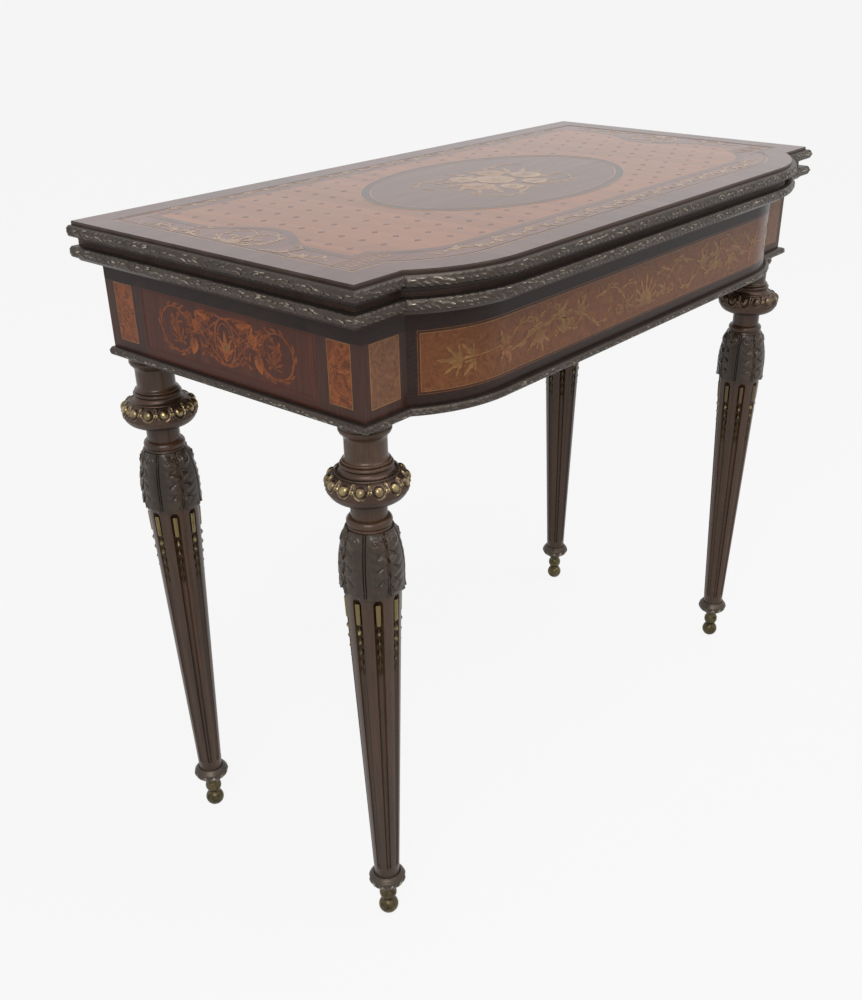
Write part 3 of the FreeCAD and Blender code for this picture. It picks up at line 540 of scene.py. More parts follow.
@dataclass(frozen=True)
class Outline:
    """A plan with straight back and sides, square ears and a bowed front."""

    half_width: float
    back_y: float
    ear_y: float
    front_y: float
    flat_half: float
    shoulder: float

    @property
    def centre_y(self) -> float:
        """Give the y of the shoulder arcs' centres."""
        return self.front_y + self.shoulder

    def reach(self, offset: np.ndarray) -> np.ndarray:
        """Give how far the re-entrant corner lies beyond the flat of the front."""
        return np.sqrt((self.shoulder + offset) ** 2 - (self.centre_y - self.ear_y + offset) ** 2)

    def run(self, index: int, share: np.ndarray, offset: np.ndarray) -> np.ndarray:
        """Give points along one of the seven runs from back left to back right.

        Args:
            index: which run: side, ear, shoulder, front, shoulder, ear, side.
            share: how far along the run, from 0 to 1.
            offset: how far outside the plan.

        Returns:
            x and y of each point.
        """
        if index > 3:
            return self.run(6 - index, 1 - share, offset) * np.array((-1.0, 1.0))
        corner_x = -(self.half_width + offset)
        notch_x = -(self.flat_half + self.reach(offset))
        ear_y = self.ear_y - offset
        if index == 0:
            x, y = corner_x, self.back_y + (ear_y - self.back_y) * share
        elif index == 1:
            x, y = corner_x + (notch_x - corner_x) * share, ear_y
        elif index == 2:
            radius = self.shoulder + offset
            turn = np.arcsin(self.reach(offset) / radius) * (1 - share)
            x, y = -self.flat_half - radius * np.sin(turn), self.centre_y - radius * np.cos(turn)
        else:
            x, y = self.flat_half * (2 * share - 1), self.front_y - offset
        return np.stack(np.broadcast_arrays(x, y), -1)

    def lengths(self) -> list[float]:
        """Give the length of each run.

        Returns:
            Seven lengths, from back left to back right.
        """
        share = np.linspace(0, 1, 60)
        runs = [self.run(index, share, np.zeros(60)) for index in range(7)]
        return [float(np.linalg.norm(np.diff(run, axis=0), axis=1).sum()) for run in runs]

    def polygon(self, offset: float, back_offset: float, bends: int = 18) -> np.ndarray:
        """Give the outline as a polygon.

        Args:
            offset: how far it is grown at the sides and front.
            back_offset: how far it is grown at the back.
            bends: points on each shoulder.

        Returns:
            x and y of each corner, from the back left.
        """
        plan = replace(self, back_y=self.back_y + back_offset)
        shares = np.linspace(0, 1, bends)
        runs = [plan.run(index, shares if index in (2, 4) else shares[[0, -1]], np.float64(offset))
                for index in range(7)]
        points = np.concatenate(runs)
        keep = np.linalg.norm(np.diff(points, axis=0, append=points[:1]), axis=1) > WELD
        return points[keep]

    def inset(self, margin: float) -> np.ndarray:
        """Give the polygon moved in all round, in millimetres."""
        return self.polygon(-margin * MM, -margin * MM) / MM


def leaf_outline() -> Outline:
    """Give the plan of the two leaves.

    Returns:
        The plan, sized from the upper leaf.
    """
    ear_width, ear_setback, shoulder = 61.65 * MM, 44.0 * MM, 168.0 * MM
    low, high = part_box("upper_leaf")
    reach = math.sqrt(shoulder ** 2 - (shoulder - ear_setback) ** 2)
    return Outline(high.x, high.y, low.y + ear_setback, low.y, high.x - ear_width - reach, shoulder)


def frieze_outline(leaf: Outline) -> Outline:
    """Give the plan of the frieze under the leaves.

    Args:
        leaf: the plan of the leaves.

    Returns:
        The plan, with its bow parallel to theirs.
    """
    front_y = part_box("front_rail")[0].y
    return Outline(
        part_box("right_end_rail")[1].x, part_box("back_rail")[1].y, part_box("front_right_post")[0].y,
        front_y, leaf.flat_half, leaf.shoulder - (front_y - leaf.front_y),
    )


def running_leaf(along: np.ndarray, across: np.ndarray, pitch: float) -> tuple[np.ndarray, np.ndarray]:
    """Give the relief of a garland of overlapping leaves in three rows.

    Args:
        along: millimetres along the moulding.
        across: millimetres up from its middle.
        pitch: millimetres from leaf to leaf in a row.

    Returns:
        Heights from 0 to 1, and how far each point is made bright: rubbed wear together with painted
        glints.
    """
    height = np.zeros(np.broadcast_shapes(along.shape, across.shape))
    rubbed_and_glint = height.copy()
    length, width = 1.2 * pitch, 0.21 * pitch
    for row in (-1, 0, 1):
        start = along + (0.5 * abs(row) + 0.15 * row) * pitch
        for back in (0, 1):
            number = np.floor(start / pitch) - back
            luck = np.sin(number * LUCK_STEPS[0] + row * LUCK_STEPS[1]) * LUCK_SPREAD % 1.0
            slant = 0.9 * row * luck + 0.5 * (luck - 0.5)
            forward = start - (number + 0.4 * (luck - 0.5)) * pitch
            up = across - 0.3 * pitch * row
            reach = (forward * np.cos(slant) + up * np.sin(slant)) / length
            aside = up * np.cos(slant) - forward * np.sin(slant)
            along_leaf = np.clip(reach, 0, 1)
            half = width * np.sin(math.pi * along_leaf ** 0.75) + 1e-6
            dome = np.sqrt(np.clip(1 - (aside / half) ** 2, 0, 1))
            # Painted glints: a bright stroke beside each leaf's midrib, stronger by a random amount per
            # leaf.
            ridge = np.exp(-((aside - 0.3 * half) / (0.075 * pitch)) ** 2) * (dome > 0)
            height = np.maximum(height, dome * (0.4 + 0.6 * along_leaf))
            rubbed_and_glint = np.maximum(rubbed_and_glint, ridge * along_leaf ** 0.3 * (0.6 + 0.4 * (luck * 7.3 % 1.0)))
    return np.maximum(height, 0.2), np.maximum(rubbed_and_glint, 0.5 * height)


@dataclass
class EdgeMount:
    """A bronze moulding with running leaves, mitred round a plan."""

    node: str
    body: str
    outline: Outline
    seat: float
    rim: float = 3.2 * MM
    relief: float = 1.8 * MM
    pitch: float = 7.4
    leaf_drop: float = -0.1
    leaf_room: float = 4.6
    fillet_gap: float = 0.5
    fillet_half: float = 0.35
    fillet_rise: float = 0.4
    fillet_highlight: float = 0.3
    step: float = 0.5 * MM
    facets: int = 23

    def build(self) -> None:
        """Sweep the section round the plan with its leaves."""
        low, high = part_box(self.node)
        projection = high.x - self.outline.half_width
        half = (high.z - low.z) / 2
        turn = np.linspace(-math.pi / 2, math.pi / 2, self.facets)
        swell = projection - self.relief - self.rim
        offset = self.rim + swell * np.cos(turn)
        height = low.z + half + half * np.sin(turn)
        across = turn * (half + swell) / 2 / MM + self.leaf_drop
        carved = np.clip((self.leaf_room - np.abs(across)) * 1.6, 0, 1)
        fillet = np.exp(-((np.abs(across) - self.leaf_room - self.fillet_gap) / self.fillet_half) ** 2)
        edge = np.cos(turn) ** 0.5
        surface = Surface()
        along = 0.0
        for index, length in enumerate(self.outline.lengths()):
            count = max(2, round(length / self.step))
            share = np.linspace(0, 1, count + 1)[:, None]
            leaves, rubbed_and_glint = running_leaf((along + share * length) / MM, across, self.pitch)
            leaves = leaves * carved + self.fillet_rise * fillet
            rise = leaves * edge * self.relief
            out = offset + rise * np.cos(turn)
            up = np.clip(height + 0.4 * rise * np.sin(turn), low.z, high.z)
            out = np.pad(out, ((0, 0), (1, 1)), constant_values=-self.seat)
            up = np.concatenate([up[:, :1], up, up[:, -1:]], 1)
            flat = self.outline.run(index, share, out)
            # Rubbed wear and painted glints on the leaves, and a painted highlight along the fillets.
            brightness = np.pad(rubbed_and_glint * carved + self.fillet_highlight * fillet, ((0, 0), (1, 1)))
            surface.grid(np.concatenate([flat, up[..., None]], -1), brightness, caps=False)
            along += length
        for end in (0, 6):
            out = np.concatenate([[-self.seat], offset, [-self.seat]])
            up = np.concatenate([height[:1], height, height[-1:]])
            flat = self.outline.run(end, np.full(out.shape, 0.0 if end == 0 else 1.0), out)
            cap = [list(range(len(out)))]
            surface.add(np.concatenate([flat, up[:, None]], -1), cap, np.zeros(len(out)))
        surface.piece(self.node + "_cast", EDGE_BRONZE, self.body, "bronze", [self.node], 50.0)


@dataclass
class TopBand:
    """The black veneer band round the top of the frieze, its darkness partly painted shade from the
    overhanging leaves.
    """

    outline: Outline
    height: float = 18.2 * MM
    proud: float = 0.06 * MM
    sunk: float = 0.1 * MM
    step: float = 3.0 * MM

    def build(self) -> None:
        """Sweep the band round the plan."""
        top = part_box("front_rail")[1].z
        out = np.array((-self.sunk, self.proud, self.proud, -self.sunk))
        up = top - np.array((self.height, self.height, self.proud, self.proud))
        runs = []
        for index, length in enumerate(self.outline.lengths()):
            share = np.linspace(0, 1, max(2, round(length / self.step)))[:, None]
            runs.append(self.outline.run(index, share, out[None, :])[0 if index == 0 else 1:])
        flat = np.concatenate(runs)
        heights = np.broadcast_to(up[:, None], (*flat.shape[:2], 1))
        surface = Surface.net(np.concatenate([flat, heights], -1))
        surface.piece("frieze_black_band", SHADED_BLACK_BAND, "frame", "rosewood")


class Ground(Protocol):
    """A face that carries marquetry."""

    def place(self, spots: np.ndarray, height: np.ndarray) -> np.ndarray:
        """Give the places of spots on the face, at heights above it, all in millimetres."""


@dataclass(frozen=True)
class FlatGround:
    """A flat face: its middle, its directions across and up, and the way out of it."""

    middle: Vector
    across: Vector
    up: Vector
    out: Vector

    def place(self, spots: np.ndarray, height: np.ndarray) -> np.ndarray:
        """Give the places of spots on the face.

        Args:
            spots: millimetres across and up.
            height: millimetres above it.

        Returns:
            x, y and z of each spot.
        """
        parts = (spots[..., :1], spots[..., 1:], height[..., None])
        directions = (self.across, self.up, self.out)
        moved = sum(part * np.array(direction) for part, direction in zip(parts, directions))
        return np.array(self.middle) + MM * moved


@dataclass(frozen=True)
class BowedGround:
    """The bowed front of the frieze, measured along its outline from the middle."""

    outline: Outline
    middle_z: float

    def place(self, spots: np.ndarray, height: np.ndarray) -> np.ndarray:
        """Give the places of spots on the bow.

        Args:
            spots: millimetres across and up.
            height: millimetres above it.

        Returns:
            x, y and z of each spot.
        """
        along, up = spots[..., 0] * MM, spots[..., 1] * MM
        plan = self.outline
        over = np.clip(np.abs(along) - plan.flat_half, 0, None)
        turn = over / plan.shoulder
        radius = plan.shoulder + height * MM
        x = np.sign(along) * (np.minimum(np.abs(along), plan.flat_half) + radius * np.sin(turn))
        y = plan.centre_y - radius * np.cos(turn)
        return np.stack([x, y, self.middle_z + up], -1)


def heading(angle: np.ndarray) -> np.ndarray:
    """Give the unit vector of an angle."""
    return np.stack([np.cos(angle), np.sin(angle)], -1)


class Inlay:
    """Marquetry of thin strips and patches let into a ground, drawn in millimetres."""

    tip = 0.06
    sunk = 0.12
    lift = 0.0025
    layers = 37
    rule_step = 4
    stem_step = 2.2
    vein_half = 0.13
    vein_from = 12
    sand_shade = (0.15, 0.85, 1.0, 1.0, 0.15)

    def __init__(self, ground: Ground) -> None:
        """Start with a bare ground.

        Args:
            ground: the face that carries the marquetry.
        """
        self.ground = ground
        self.side = 1.0
        self.laid = 0
        self.surfaces: dict[Tone, Surface] = {}

    def both_sides(self) -> Iterator[None]:
        """Repeat a drawing on the right and, mirrored, on the left.

        Yields:
            Nothing, once for each side.
        """
        for self.side in (1.0, -1.0):
            yield
        self.side = 1.0

    def surface(self, tone: Tone) -> Surface:
        """Give the surface that gathers one veneer."""
        return self.surfaces.setdefault(tone, Surface())

    def strip(self, tone: Tone, centre: np.ndarray, half: np.ndarray, level: float,
              shade: Union[np.ndarray, float] = 1.0) -> float:
        """Lay a strip along a line, a hair above or below its neighbours.

        Args:
            tone: its veneer.
            centre: points along its middle.
            half: half its width at each point.
            level: height of its face.
            shade: 0 where it is scorched dark, to 1 where it is clean, along and across it.

        Returns:
            The height that its face was given.
        """
        steps = np.diff(centre, axis=0)
        steps /= np.linalg.norm(steps, axis=1, keepdims=True) + 1e-9
        before, after = np.concatenate([steps[:1], steps]), np.concatenate([steps, steps[-1:]])
        mitre = (before + after) / np.maximum(1 + (before * after).sum(1, keepdims=True), 0.5)
        aside = np.stack([-mitre[:, 1], mitre[:, 0]], 1) * np.maximum(half, self.tip)[:, None]
        self.laid += 1
        level += self.lift * (self.laid % self.layers)
        spots = np.stack([centre + aside, centre, centre - aside, centre - aside, centre + aside], 1)
        spots = spots * np.array((self.side, 1.0))
        low = level - self.sunk
        height = np.broadcast_to(np.array((level, level, level, low, low)), spots.shape[:2])
        brightness = np.broadcast_to(shade, spots.shape[:2])
        self.surface(tone).grid(self.ground.place(spots, height), brightness)
        return level

    def patch(self, tone: Tone, outline: np.ndarray, level: float, depth: float,
              shade: float = 1.0) -> None:
        """Lay a flat patch with a polygon outline.

        Args:
            tone: its veneer.
            outline: its corners.
            level: height of its face.
            depth: its thickness.
            shade: 0 where it is scorched dark, to 1 where it is clean.
        """
        spots = np.stack([outline, outline]) * np.array((self.side, 1.0))
        height = np.broadcast_to(np.array(((level,), (level - depth,))), spots.shape[:2])
        self.surface(tone).grid(self.ground.place(spots, height), shade)

    def rule(self, tone: Tone, points: Sequence[Sequence[float]], half: float, level: float) -> None:
        """Lay straight lines with square ends through points.

        Args:
            tone: their veneer.
            points: where they start and end.
            half: half their width.
            level: height of their faces.
        """
        for start, end in zip(points, points[1:]):
            start, end = np.array(start, float), np.array(end, float)
            over = (end - start) / np.linalg.norm(end - start) * half
            count = max(2, int(np.linalg.norm(end - start) // self.rule_step) + 2)
            share = np.linspace(0, 1, count)[:, None]
            line = (start - over) * (1 - share) + (end + over) * share
            self.strip(tone, line, np.full(count, half), level)

    def frame(self, tone: Tone, half_size: Sequence[float], half: float, level: float) -> None:
        """Lay a rectangle of lines about the middle."""
        x, y = half_size
        self.rule(tone, [(-x, -y), (x, -y), (x, y), (-x, y), (-x, -y)], half, level)

    def ring(self, tone: Tone, middle: Sequence[float], half_axes: Sequence[float], half: float,
             level: float, sides: int = 40) -> None:
        """Lay an oval band.

        Args:
            tone: its veneer.
            middle: its middle.
            half_axes: its half width and half depth.
            half: half the width of the band.
            level: height of its face.
            sides: how many sides it has.
        """
        turn = np.linspace(0, 2 * math.pi, sides + 1)
        line = np.array(middle) + heading(turn) * np.array(half_axes)
        self.strip(tone, line, np.full(sides + 1, half), level)

    def leaf(self, tone: Tone, root: Sequence[float], angle: float, size: Sequence[float], level: float,
             bend: float = 0.0, lobes: float = 0.0) -> None:
        """Lay a pointed leaf, scorched at its root and along one edge, with an engraved vein.

        Args:
            tone: its veneer.
            root: where it grows from.
            angle: the way it sets out.
            size: its length and width.
            level: height of its face.
            bend: how far it turns by its tip.
            lobes: how many teeth each edge has.
        """
        share = np.linspace(0, 1, 11 if not lobes else 19)
        steps = heading(angle + bend * share) * (size[0] / (len(share) - 1))
        line = np.array(root) + np.cumsum(steps, 0) - steps[0]
        half = size[1] / 2 * np.sin(math.pi * share ** 0.72) ** 0.85
        if lobes:
            half = half * (0.8 + 0.34 * np.cos(2 * math.pi * lobes * share))
        level = self.strip(tone, line, half, level, np.outer(0.3 + 0.7 * share, self.sand_shade))
        if size[0] > self.vein_from:
            vein = line[len(line) // 3:-3]
            self.strip(tone, vein, np.full(len(vein), self.vein_half), level + 0.004, 0.2)

    def stem(self, tone: Tone, root: Sequence[float], angle: float, length: float, turns: Sequence[float],
             width: float, level: float) -> tuple[np.ndarray, np.ndarray]:
        """Lay a stem that curls more and more.

        Args:
            tone: its veneer.
            root: where it starts.
            angle: the way it sets out.
            length: its length.
            turns: its turning, in radians over its length, at the start and at the end.
            width: its width at the root; it tapers.
            level: height of its face.

        Returns:
            Points along it, and its angle at each.
        """
        share = np.linspace(0, 1, max(8, int(length / self.stem_step)))
        angles = angle + turns[0] * share + (turns[1] - turns[0]) * share ** 2 / 2
        steps = heading(angles) * (length / (len(share) - 1))
        line = np.array(root) + np.cumsum(steps, 0) - steps[0]
        self.strip(tone, line, width / 2 * (1 - 0.6 * share), level)
        return line, angles

    def flower(self, tone: Tone, middle: Sequence[float], radius: float, level: float, petals: int = 6,
               turn: float = 0.3) -> None:
        """Lay a flower of petals round a scorched eye.

        Args:
            tone: its veneer.
            middle: its middle.
            radius: length of a petal.
            level: height of its face.
            petals: how many.
            turn: angle of the first.
        """
        share = np.linspace(0, 1, 10)
        half = radius * 0.36 * np.sin(math.pi * share ** 1.7) ** 0.6
        shade = np.outer(0.25 + 0.75 * share, self.sand_shade)
        for index in range(petals):
            way = heading(np.float64(turn + index * 2 * math.pi / petals))
            line = np.array(middle) + np.outer(0.15 + 0.85 * share, way * radius)
            self.strip(tone, line, half, level, shade)
        turns = np.linspace(0, 2 * math.pi, 11)[:-1]
        eye = np.array(middle) + heading(turns) * radius * 0.17
        self.patch(tone, eye, level + self.lift * self.layers, self.sunk, 0.3)

    def spray(self, tone: Tone, root: Sequence[float], angle: float, size: Sequence[float], level: float,
              count: int = 5, spread: float = 1.9, lobes: float = 0.0) -> None:
        """Lay a fan of leaves, the middle ones longest.

        Args:
            tone: their veneer.
            root: where they grow from.
            angle: the way of the middle one.
            size: length and width of the longest.
            level: height of their faces.
            count: how many.
            spread: angle between the outer ones.
            lobes: teeth on each edge.
        """
        for share in np.linspace(-1, 1, count):
            shrink = 1 - 0.38 * abs(share)
            self.leaf(tone, root, angle + share * spread / 2, (size[0] * shrink, size[1] * shrink), level,
                      0.5 * share, lobes)

    def scroll(self, tone: Tone, root: Sequence[float], angle: float, length: float, turns: Sequence[float],
               width: float, level: float, leaves: int = 5, flower: float = 0.0,
               leaf_share: float = 0.24) -> None:
        """Lay a curling stem with leaves on its outer side and, maybe, a flower at its end.

        Args:
            tone: its veneer.
            root: where it starts.
            angle: the way it sets out.
            length: its length.
            turns: its turning at the start and end.
            width: its width at the root.
            level: height of its face.
            leaves: how many leaves grow from it.
            flower: radius of the flower at its end, if any.
            leaf_share: length of its first leaf as a share of its own.
        """
        line, angles = self.stem(tone, root, angle, length, turns, width, level)
        way = -math.copysign(1.0, turns[0] + turns[1])
        for index in range(leaves):
            spot = int((index + 0.7) / (leaves + 0.4) * (len(line) - 1))
            size = length * leaf_share * (1 - 0.35 * index / leaves)
            flip = way if index % 3 else -way
            self.leaf(tone, line[spot], angles[spot] + 0.55 * flip, (size, size * 0.4), level + 0.01,
                      -0.8 * flip, 2.5)
        if flower:
            self.flower(tone, line[-1], flower, level + 0.02)

    def garland(self, tone: Tone, route: Sequence[Sequence[float]], pitch: float, level: float) -> None:
        """Lay a running garland of curls, leaves and small flowers along a route.

        Args:
            tone: its veneer.
            route: points that it passes.
            pitch: distance from curl to curl.
            level: height of its face.
        """
        points = np.array(route, float)
        lengths = np.concatenate([[0], np.cumsum(np.linalg.norm(np.diff(points, axis=0), axis=1))])
        spots = np.arange(pitch * 0.5, lengths[-1], pitch)
        line = np.stack([np.interp(spots, lengths, points[:, axis]) for axis in (0, 1)], 1)
        ahead = np.gradient(line, axis=0) if len(line) > 1 else points[-1:] - points[:1]
        for index, (spot, angle) in enumerate(zip(line, np.arctan2(ahead[:, 1], ahead[:, 0]))):
            way = 1.0 if index % 2 else -1.0
            stem, angles = self.stem(tone, spot, angle - 0.55 * way, pitch * 1.08, (0.4 * way, 2.2 * way),
                                     pitch * 0.055, level)
            fan_size, leaf_size = (pitch * 0.5, pitch * 0.15), (pitch * 0.42, pitch * 0.13)
            self.spray(tone, stem[-1], angles[-1] - 0.5 * way, fan_size, level + 0.01, 5, 2.3)
            for share, turn in ((0.3, -0.9), (0.55, 0.95)):
                place = int(share * len(stem))
                bend = -0.7 * turn * way
                self.leaf(tone, stem[place], angles[place] + turn * way, leaf_size, level + 0.01, bend)
            if index % 2:
                bloom = stem[place] - heading(angles[place]) * pitch * 0.1
                self.flower(tone, bloom, pitch * 0.15, level + 0.02)

    def pieces(self, prefix: str, body: str, slot: str, replaces: dict[Tone, Sequence[str]],
               polish: float = 0.22) -> None:
        """Make a piece of each veneer.

        Args:
            prefix: start of the pieces' names.
            body: the body that carries them.
            slot: the record's material slot.
            replaces: nodes that a veneer stands for.
            polish: how strong their polish is.
        """
        for tone, surface in self.surfaces.items():
            name = prefix + "_" + tone.name.lower()
            finish = replace(tone.value, name=name + "_finish", polish=polish)
            surface.piece(name, finish, body, slot, replaces.get(tone, ()))


def inside(polygon: np.ndarray, spot: Sequence[float]) -> bool:
    """Tell whether a spot lies in a polygon.

    Args:
        polygon: its corners.
        spot: x and y.

    Returns:
        True when it lies inside.
    """
    x, y = spot
    after = np.roll(polygon, -1, 0)
    crosses = (polygon[:, 1] > y) != (after[:, 1] > y)
    rise = np.where(crosses, after[:, 1] - polygon[:, 1], 1.0)
    cut = polygon[:, 0] + (y - polygon[:, 1]) / rise * (after[:, 0] - polygon[:, 0])
    return bool(np.count_nonzero(crosses & (x < cut)) % 2)


@dataclass
class TopMarquetry:
    """The veneered face of the upper leaf: border, ribbon, spotted field and oval medallion."""

    outline: Outline
    border_inset: float = 30.0
    ribbon_inset: float = 66.0
    ribbon_back_inset: float = 48.0
    ribbon_half: float = 4.6
    lobe_depth: float = 36.0
    lobe_half: float = 72.0
    lobe_y: float = 24.0
    medallion: tuple[float, float] = (188.0, 121.0)
    medallion_y: float = 12.0
    medallion_band: float = 5.5
    spot_step: tuple[float, float] = (32.0, 27.6)
    spot_size: tuple[float, float] = (7.4, 9.4)
    spot_room: float = 9.0
    spot_reach: tuple[int, int] = (12, 8)
    face: float = -0.2
    key_corner: tuple[float, float] = (407.0, -138.0)
    key_step: float = 3.3
    band_gap: float = 0.3
    band_proud: float = 0.05
    band_sunk: float = 0.1

    def ribbon(self) -> np.ndarray:
        """Give the outline of the field, with a lobe pressed into each side.

        Returns:
            x and y of each corner.
        """
        plan = replace(self.outline, back_y=self.outline.back_y - self.ribbon_back_inset * MM)
        inset = np.float64(-self.ribbon_inset * MM)
        runs = [plan.run(index, np.linspace(0, 1, bends), inset) for index, bends in enumerate((45, 2, 30))]
        half = np.concatenate(runs) / MM
        away = np.clip(np.abs(half[:, 1] - self.lobe_y) / self.lobe_half, 0, 1)
        on_side = np.abs(half[:, 0] - half[0, 0]) < 1.0
        half[:, 0] += on_side * self.lobe_depth * (0.5 + 0.5 * np.cos(math.pi * away)) ** 0.8
        line = np.concatenate([half, half[::-1] * np.array((-1.0, 1.0))])
        apart = np.linalg.norm(np.diff(line, axis=0, append=line[:1]), axis=1)
        return line[apart > 0.05]

    def greek_key(self, inlay: Inlay) -> None:
        """Lay the key pattern in the front corners.

        Args:
            inlay: gathers the veneers.
        """
        step, (x, y) = self.key_step, self.key_corner
        unit = ((0, 0), (0, 6), (-5, 6), (-5, 2), (-2, 2), (-2, 4), (-3.4, 4))
        for start in (0.0, -6.6, -13.2):
            points = [(x + (start + u) * step, y + v * step) for u, v in unit]
            inlay.rule(Tone.BOXWOOD, points, 0.62, self.face + 0.1)
        for v in (-1.4, 7.4):
            line = [(x + 1.2, y + v * step), (x - 19.4 * step, y + v * step)]
            inlay.rule(Tone.BOXWOOD, line, 0.4, self.face + 0.1)

    def crossband(self, ground: Ground) -> None:
        """Lay the band round the edge, mitred, with its grain running in from each side.

        Args:
            ground: the face that carries it.
        """
        rings = (self.outline.inset(margin) for margin in (self.band_gap, self.border_inset))
        outer, inner = (np.concatenate([line, line[:1]]) for line in rings)
        section = np.array((self.band_proud, self.band_proud, -self.band_sunk, -self.band_sunk))
        run = np.abs(np.diff(outer, axis=0))
        upright = run[:, 1] > run[:, 0]
        breaks = [0, *(np.flatnonzero(np.diff(upright)) + 1), len(run)]
        sides, fronts = Surface(), Surface()
        for start, end in zip(breaks, breaks[1:]):
            rows = slice(start, end + 1)
            spots = np.stack([outer[rows], inner[rows], inner[rows], outer[rows]], 1)
            height = np.broadcast_to(section, spots.shape[:2])
            (sides if upright[start] else fronts).grid(ground.place(spots, height))
        sides.piece("top_side_crossband", SIDE_BAND, "upper_leaf", "rosewood")
        fronts.piece("top_front_crossband", FRONT_BAND, "upper_leaf", "rosewood")

    def bouquet(self, inlay: Inlay) -> None:
        """Lay a plain bunch of flowers in the medallion.

        Args:
            inlay: gathers the veneers.
        """
        y = self.medallion_y
        for turn in np.linspace(0.15, 2 * math.pi + 0.15, 18)[:-1]:
            root = np.array((0.0, y)) + heading(turn) * np.array((40.0, 26.0))
            inlay.leaf(Tone.TAN, root, turn, (44.0, 12.0), self.face + 0.11, 0.5, 3.5)
        blooms = (
            (0, 4, 25), (-46, -8, 21), (47, -6, 20), (-24, 33, 18), (27, 32, 19),
            (-20, -37, 15), (22, -38, 16),
        )
        for index, (x, lift, radius) in enumerate(blooms):
            tone = Tone.TAN if index % 3 == 1 else Tone.BOXWOOD
            for share, petals in ((1.0, 9), (0.68, 7), (0.38, 5)):
                level = self.face + 0.3 - 0.12 * share
                inlay.flower(tone, (x, y + lift), radius * share, level, petals, share)
        for _ in inlay.both_sides():
            inlay.scroll(Tone.TAN, (10, y - 52), -0.5, 95, (0.2, 4.6), 3.4, self.face + 0.1, 5, 6.0)
            inlay.scroll(Tone.TAN, (40, y + 52), 0.35, 80, (-0.3, -4.6), 3.0, self.face + 0.1, 4, 5.0)

    def foliage(self, inlay: Inlay) -> None:
        """Lay the garlands of the border.

        Args:
            inlay: gathers the veneers.
        """
        tone, level = Tone.BOXWOOD, self.face + 0.09
        routes = (
            ([(334, -147), (310, -158), (270, -170), (8, -172)], 27.0), ([(396, -112), (398, -52)], 26.0),
            ([(396, 180), (398, 110)], 26.0), ([(380, 186), (8, 185)], 26.0),
        )
        for _ in inlay.both_sides():
            for route, pitch in routes:
                inlay.garland(tone, route, pitch, level)
            for way in (1.0, -1.0):
                curl, curl_turns = (407, self.lobe_y - 6 * way), (1.0 * way, 12.0 * way)
                inlay.scroll(tone, curl, 1.65 * way, 124, curl_turns, 2.8, level, 9, 4.5, 0.13)
                tail, tail_turns = (406, self.lobe_y + 44 * way), (-0.4 * way, 6.5 * way)
                inlay.scroll(tone, tail, 1.75 * way, 58, tail_turns, 2.2, level, 6, 3.0, 0.2)
            inlay.spray(tone, (408, self.lobe_y), math.pi, (34, 8), level + 0.1, 5, 1.5, 2.5)

    def spots(self, inlay: Inlay, ribbon: np.ndarray) -> None:
        """Lay the spots of the field, clear of its ribbon and of the medallion.

        Args:
            inlay: gathers the veneers.
            ribbon: the edge of the field.
        """
        room = self.spot_room
        wide, deep = (axis + 2 * room for axis in self.medallion)
        long, half = self.spot_size[0] / 2, self.spot_size[1] / 2
        columns, rows = (range(-reach, reach + 1) for reach in self.spot_reach)
        for column in columns:
            for row in rows:
                x = column * self.spot_step[0]
                y = self.medallion_y + (row + 0.5 * (column % 2)) * self.spot_step[1]
                from_oval = math.hypot(x / wide, (y - self.medallion_y) / deep)
                clear = all(inside(ribbon, (x + u, y + v)) for u in (-room, room) for v in (-room, room))
                if clear and from_oval > 1:
                    line = np.array(((x, y - long), (x, y), (x, y + long)))
                    inlay.strip(Tone.RUST, line, np.array((0.1, half, 0.1)), self.face + 0.07)

    def build(self) -> None:
        """Lay the whole face."""
        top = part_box("upper_leaf")[1].z
        ground = FlatGround(Vector((0, 0, top)), Vector((1, 0, 0)), Vector((0, 1, 0)), Vector((0, 0, 1)))
        inlay = Inlay(ground)
        depth = (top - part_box("top_marquetry_panel")[0].z) / MM
        inlay.patch(Tone.KINGWOOD, self.outline.inset(self.border_inset), self.face, depth + self.face)
        ribbon = self.ribbon()
        inlay.patch(Tone.TULIPWOOD, ribbon, self.face + 0.04, 0.1)
        turned = np.roll(ribbon, -8, 0)
        closed = np.concatenate([turned, turned[:1]])
        inlay.strip(Tone.HAREWOOD, closed, np.full(len(closed), self.ribbon_half), self.face + 0.07)
        for tone, further in ((Tone.BOXWOOD, 1.2), (Tone.UMBER, 4.0)):
            line = self.outline.inset(self.border_inset + further)
            inlay.rule(tone, [*line, line[0]], 0.6, self.face + 0.08)
        middle = (0.0, self.medallion_y)
        turn = np.linspace(0, 2 * math.pi, 97)[:-1]
        oval = np.array(middle) + heading(turn) * np.array(self.medallion)
        inlay.patch(Tone.HAREWOOD, oval, self.face + 0.08, 0.1)
        inlay.ring(Tone.UMBER, middle, self.medallion, self.medallion_band, self.face + 0.1, 96)
        for grow in (-1.0, 1.0):
            axes = [axis + grow * self.medallion_band for axis in self.medallion]
            inlay.ring(Tone.TAN, middle, axes, 0.7, self.face + 0.16, 96)
        self.spots(inlay, ribbon)
        self.bouquet(inlay)
        self.foliage(inlay)
        for _ in inlay.both_sides():
            self.greek_key(inlay)
        inlay.pieces("top", "upper_leaf", "tulipwood", {Tone.KINGWOOD: ["top_marquetry_panel"]}, TOP_POLISH)
        self.crossband(ground)


